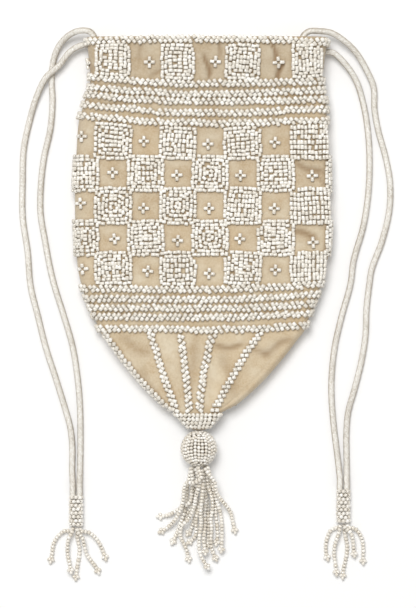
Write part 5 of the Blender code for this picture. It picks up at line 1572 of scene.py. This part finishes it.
def finish_hidden_pieces():
    """Give the CAD pieces that stay in the scene their own finishes."""
    finishes = {
        "ball_core": WOOD,
        "hanging_thread": THREAD,
        "left_drawstring_hem": SATIN,
        "right_drawstring_hem": SATIN,
    }
    for name, finish in finishes.items():
        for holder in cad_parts[name].material_slots:
            holder.material = finish


# Floor, light and camera
VIEW_X, VIEW_Y = 3.025, 1.375
CAMERA_HEIGHT = 1866.0
FLOOR_SHARE = 0.88      # how much light the floor throws back
FLOOR_GLOW = 0.07       # how much the camera's view of it is lifted to white
FLOOR_HALF = 2.5        # metres
FLOOR_DROP = 0.0001     # metres that the floor lies under the table's height
AIM = Vector((0.0, 0.03, 0.0))      # where the lamp points, in metres
ROOM_STRENGTH = 0.48


def background_rays(nodes, links):
    """Return a socket that is 1 for what the camera sees, also in a reflection or through glass."""
    rays = nodes.new("ShaderNodeLightPath")
    total = rays.outputs["Is Camera Ray"]
    for name in ("Is Glossy Ray", "Is Transmission Ray"):
        adding = add_node(nodes, "ShaderNodeMath", operation="MAXIMUM")
        links.new(total, adding.inputs[0])
        links.new(rays.outputs[name], adding.inputs[1])
        total = adding.outputs[0]
    return total


def make_floor():
    """Lay the white floor, which keeps the bag's shadow."""
    shape = bmesh.new()
    bmesh.ops.create_grid(shape, x_segments=1, y_segments=1, size=FLOOR_HALF)
    bmesh.ops.translate(shape, vec=(0.0, 0.0, -FLOOR_DROP), verts=shape.verts)
    mesh = bpy.data.meshes.new("floor")
    shape.to_mesh(mesh)
    shape.free()
    floor = bpy.data.objects.new("floor", mesh)
    bpy.context.collection.objects.link(floor)
    material, nodes, links, shader = new_material("white_floor")
    set_inputs(shader, {"Base Color": (FLOOR_SHARE, FLOOR_SHARE, FLOOR_SHARE, 1.0), "Roughness": 1.0})
    set_inputs(shader, {"Specular IOR Level": 0.0, "Emission Color": (1.0, 1.0, 1.0, 1.0)})
    seen = add_range(nodes, links, background_rays(nodes, links), 0.0, 1.0, 0.0, FLOOR_GLOW)
    links.new(seen, shader.inputs["Emission Strength"])
    mesh.materials.append(material)
    floor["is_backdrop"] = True


def add_lamp(name, place, size, power):
    """Add a square lamp that shines at the bag's middle."""
    light = bpy.data.lights.new(name, "AREA")
    light.shape = "SQUARE"
    light.size = size
    light.energy = power
    lamp = bpy.data.objects.new(name, light)
    lamp.location = place
    lamp.rotation_euler = (AIM - lamp.location).to_track_quat("-Z", "Y").to_euler()
    bpy.context.collection.objects.link(lamp)


def set_light():
    """Set a soft window light from the upper left, and a pale room round it."""
    add_lamp("window", (-0.3, 0.88, 2.4), 1.05, 47.0)
    world = bpy.data.worlds.new("pale_room")
    world.use_nodes = True
    bpy.context.scene.world = world
    nodes, links = world.node_tree.nodes, world.node_tree.links
    room = nodes["Background"]
    room.inputs["Color"].default_value = (1.0, 0.99, 0.97, 1.0)
    strength = add_range(nodes, links, background_rays(nodes, links), 0.0, 1.0, ROOM_STRENGTH, 1.0)
    links.new(strength, room.inputs["Strength"])


def set_camera():
    """Set the camera straight above the bag."""
    camera_data = bpy.data.cameras.new("camera")
    camera_data.lens = 200
    camera_data.sensor_width = 36
    camera_data.clip_start = 0.01
    camera = bpy.data.objects.new("camera", camera_data)
    camera.location = (VIEW_X * MM, VIEW_Y * MM, CAMERA_HEIGHT * MM)
    bpy.context.collection.objects.link(camera)
    bpy.context.scene.camera = camera
    bpy.context.scene.view_settings.view_transform = "Standard"


make_floor()
set_light()
set_camera()
make_top_beadwork()
make_bands()
make_checker()
make_cone_bands()
make_collar()
make_ball()
make_tassel()
make_drawstrings()
make_suede()
finish_hidden_pieces()
for spare_mesh in (CUT_BEAD, ROUND_BEAD):
    bpy.data.meshes.remove(spare_mesh)

boxes = {"cad": cad_box, "visual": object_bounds()}
{name: [list(corner) for corner in box] for name, box in boxes.items()}
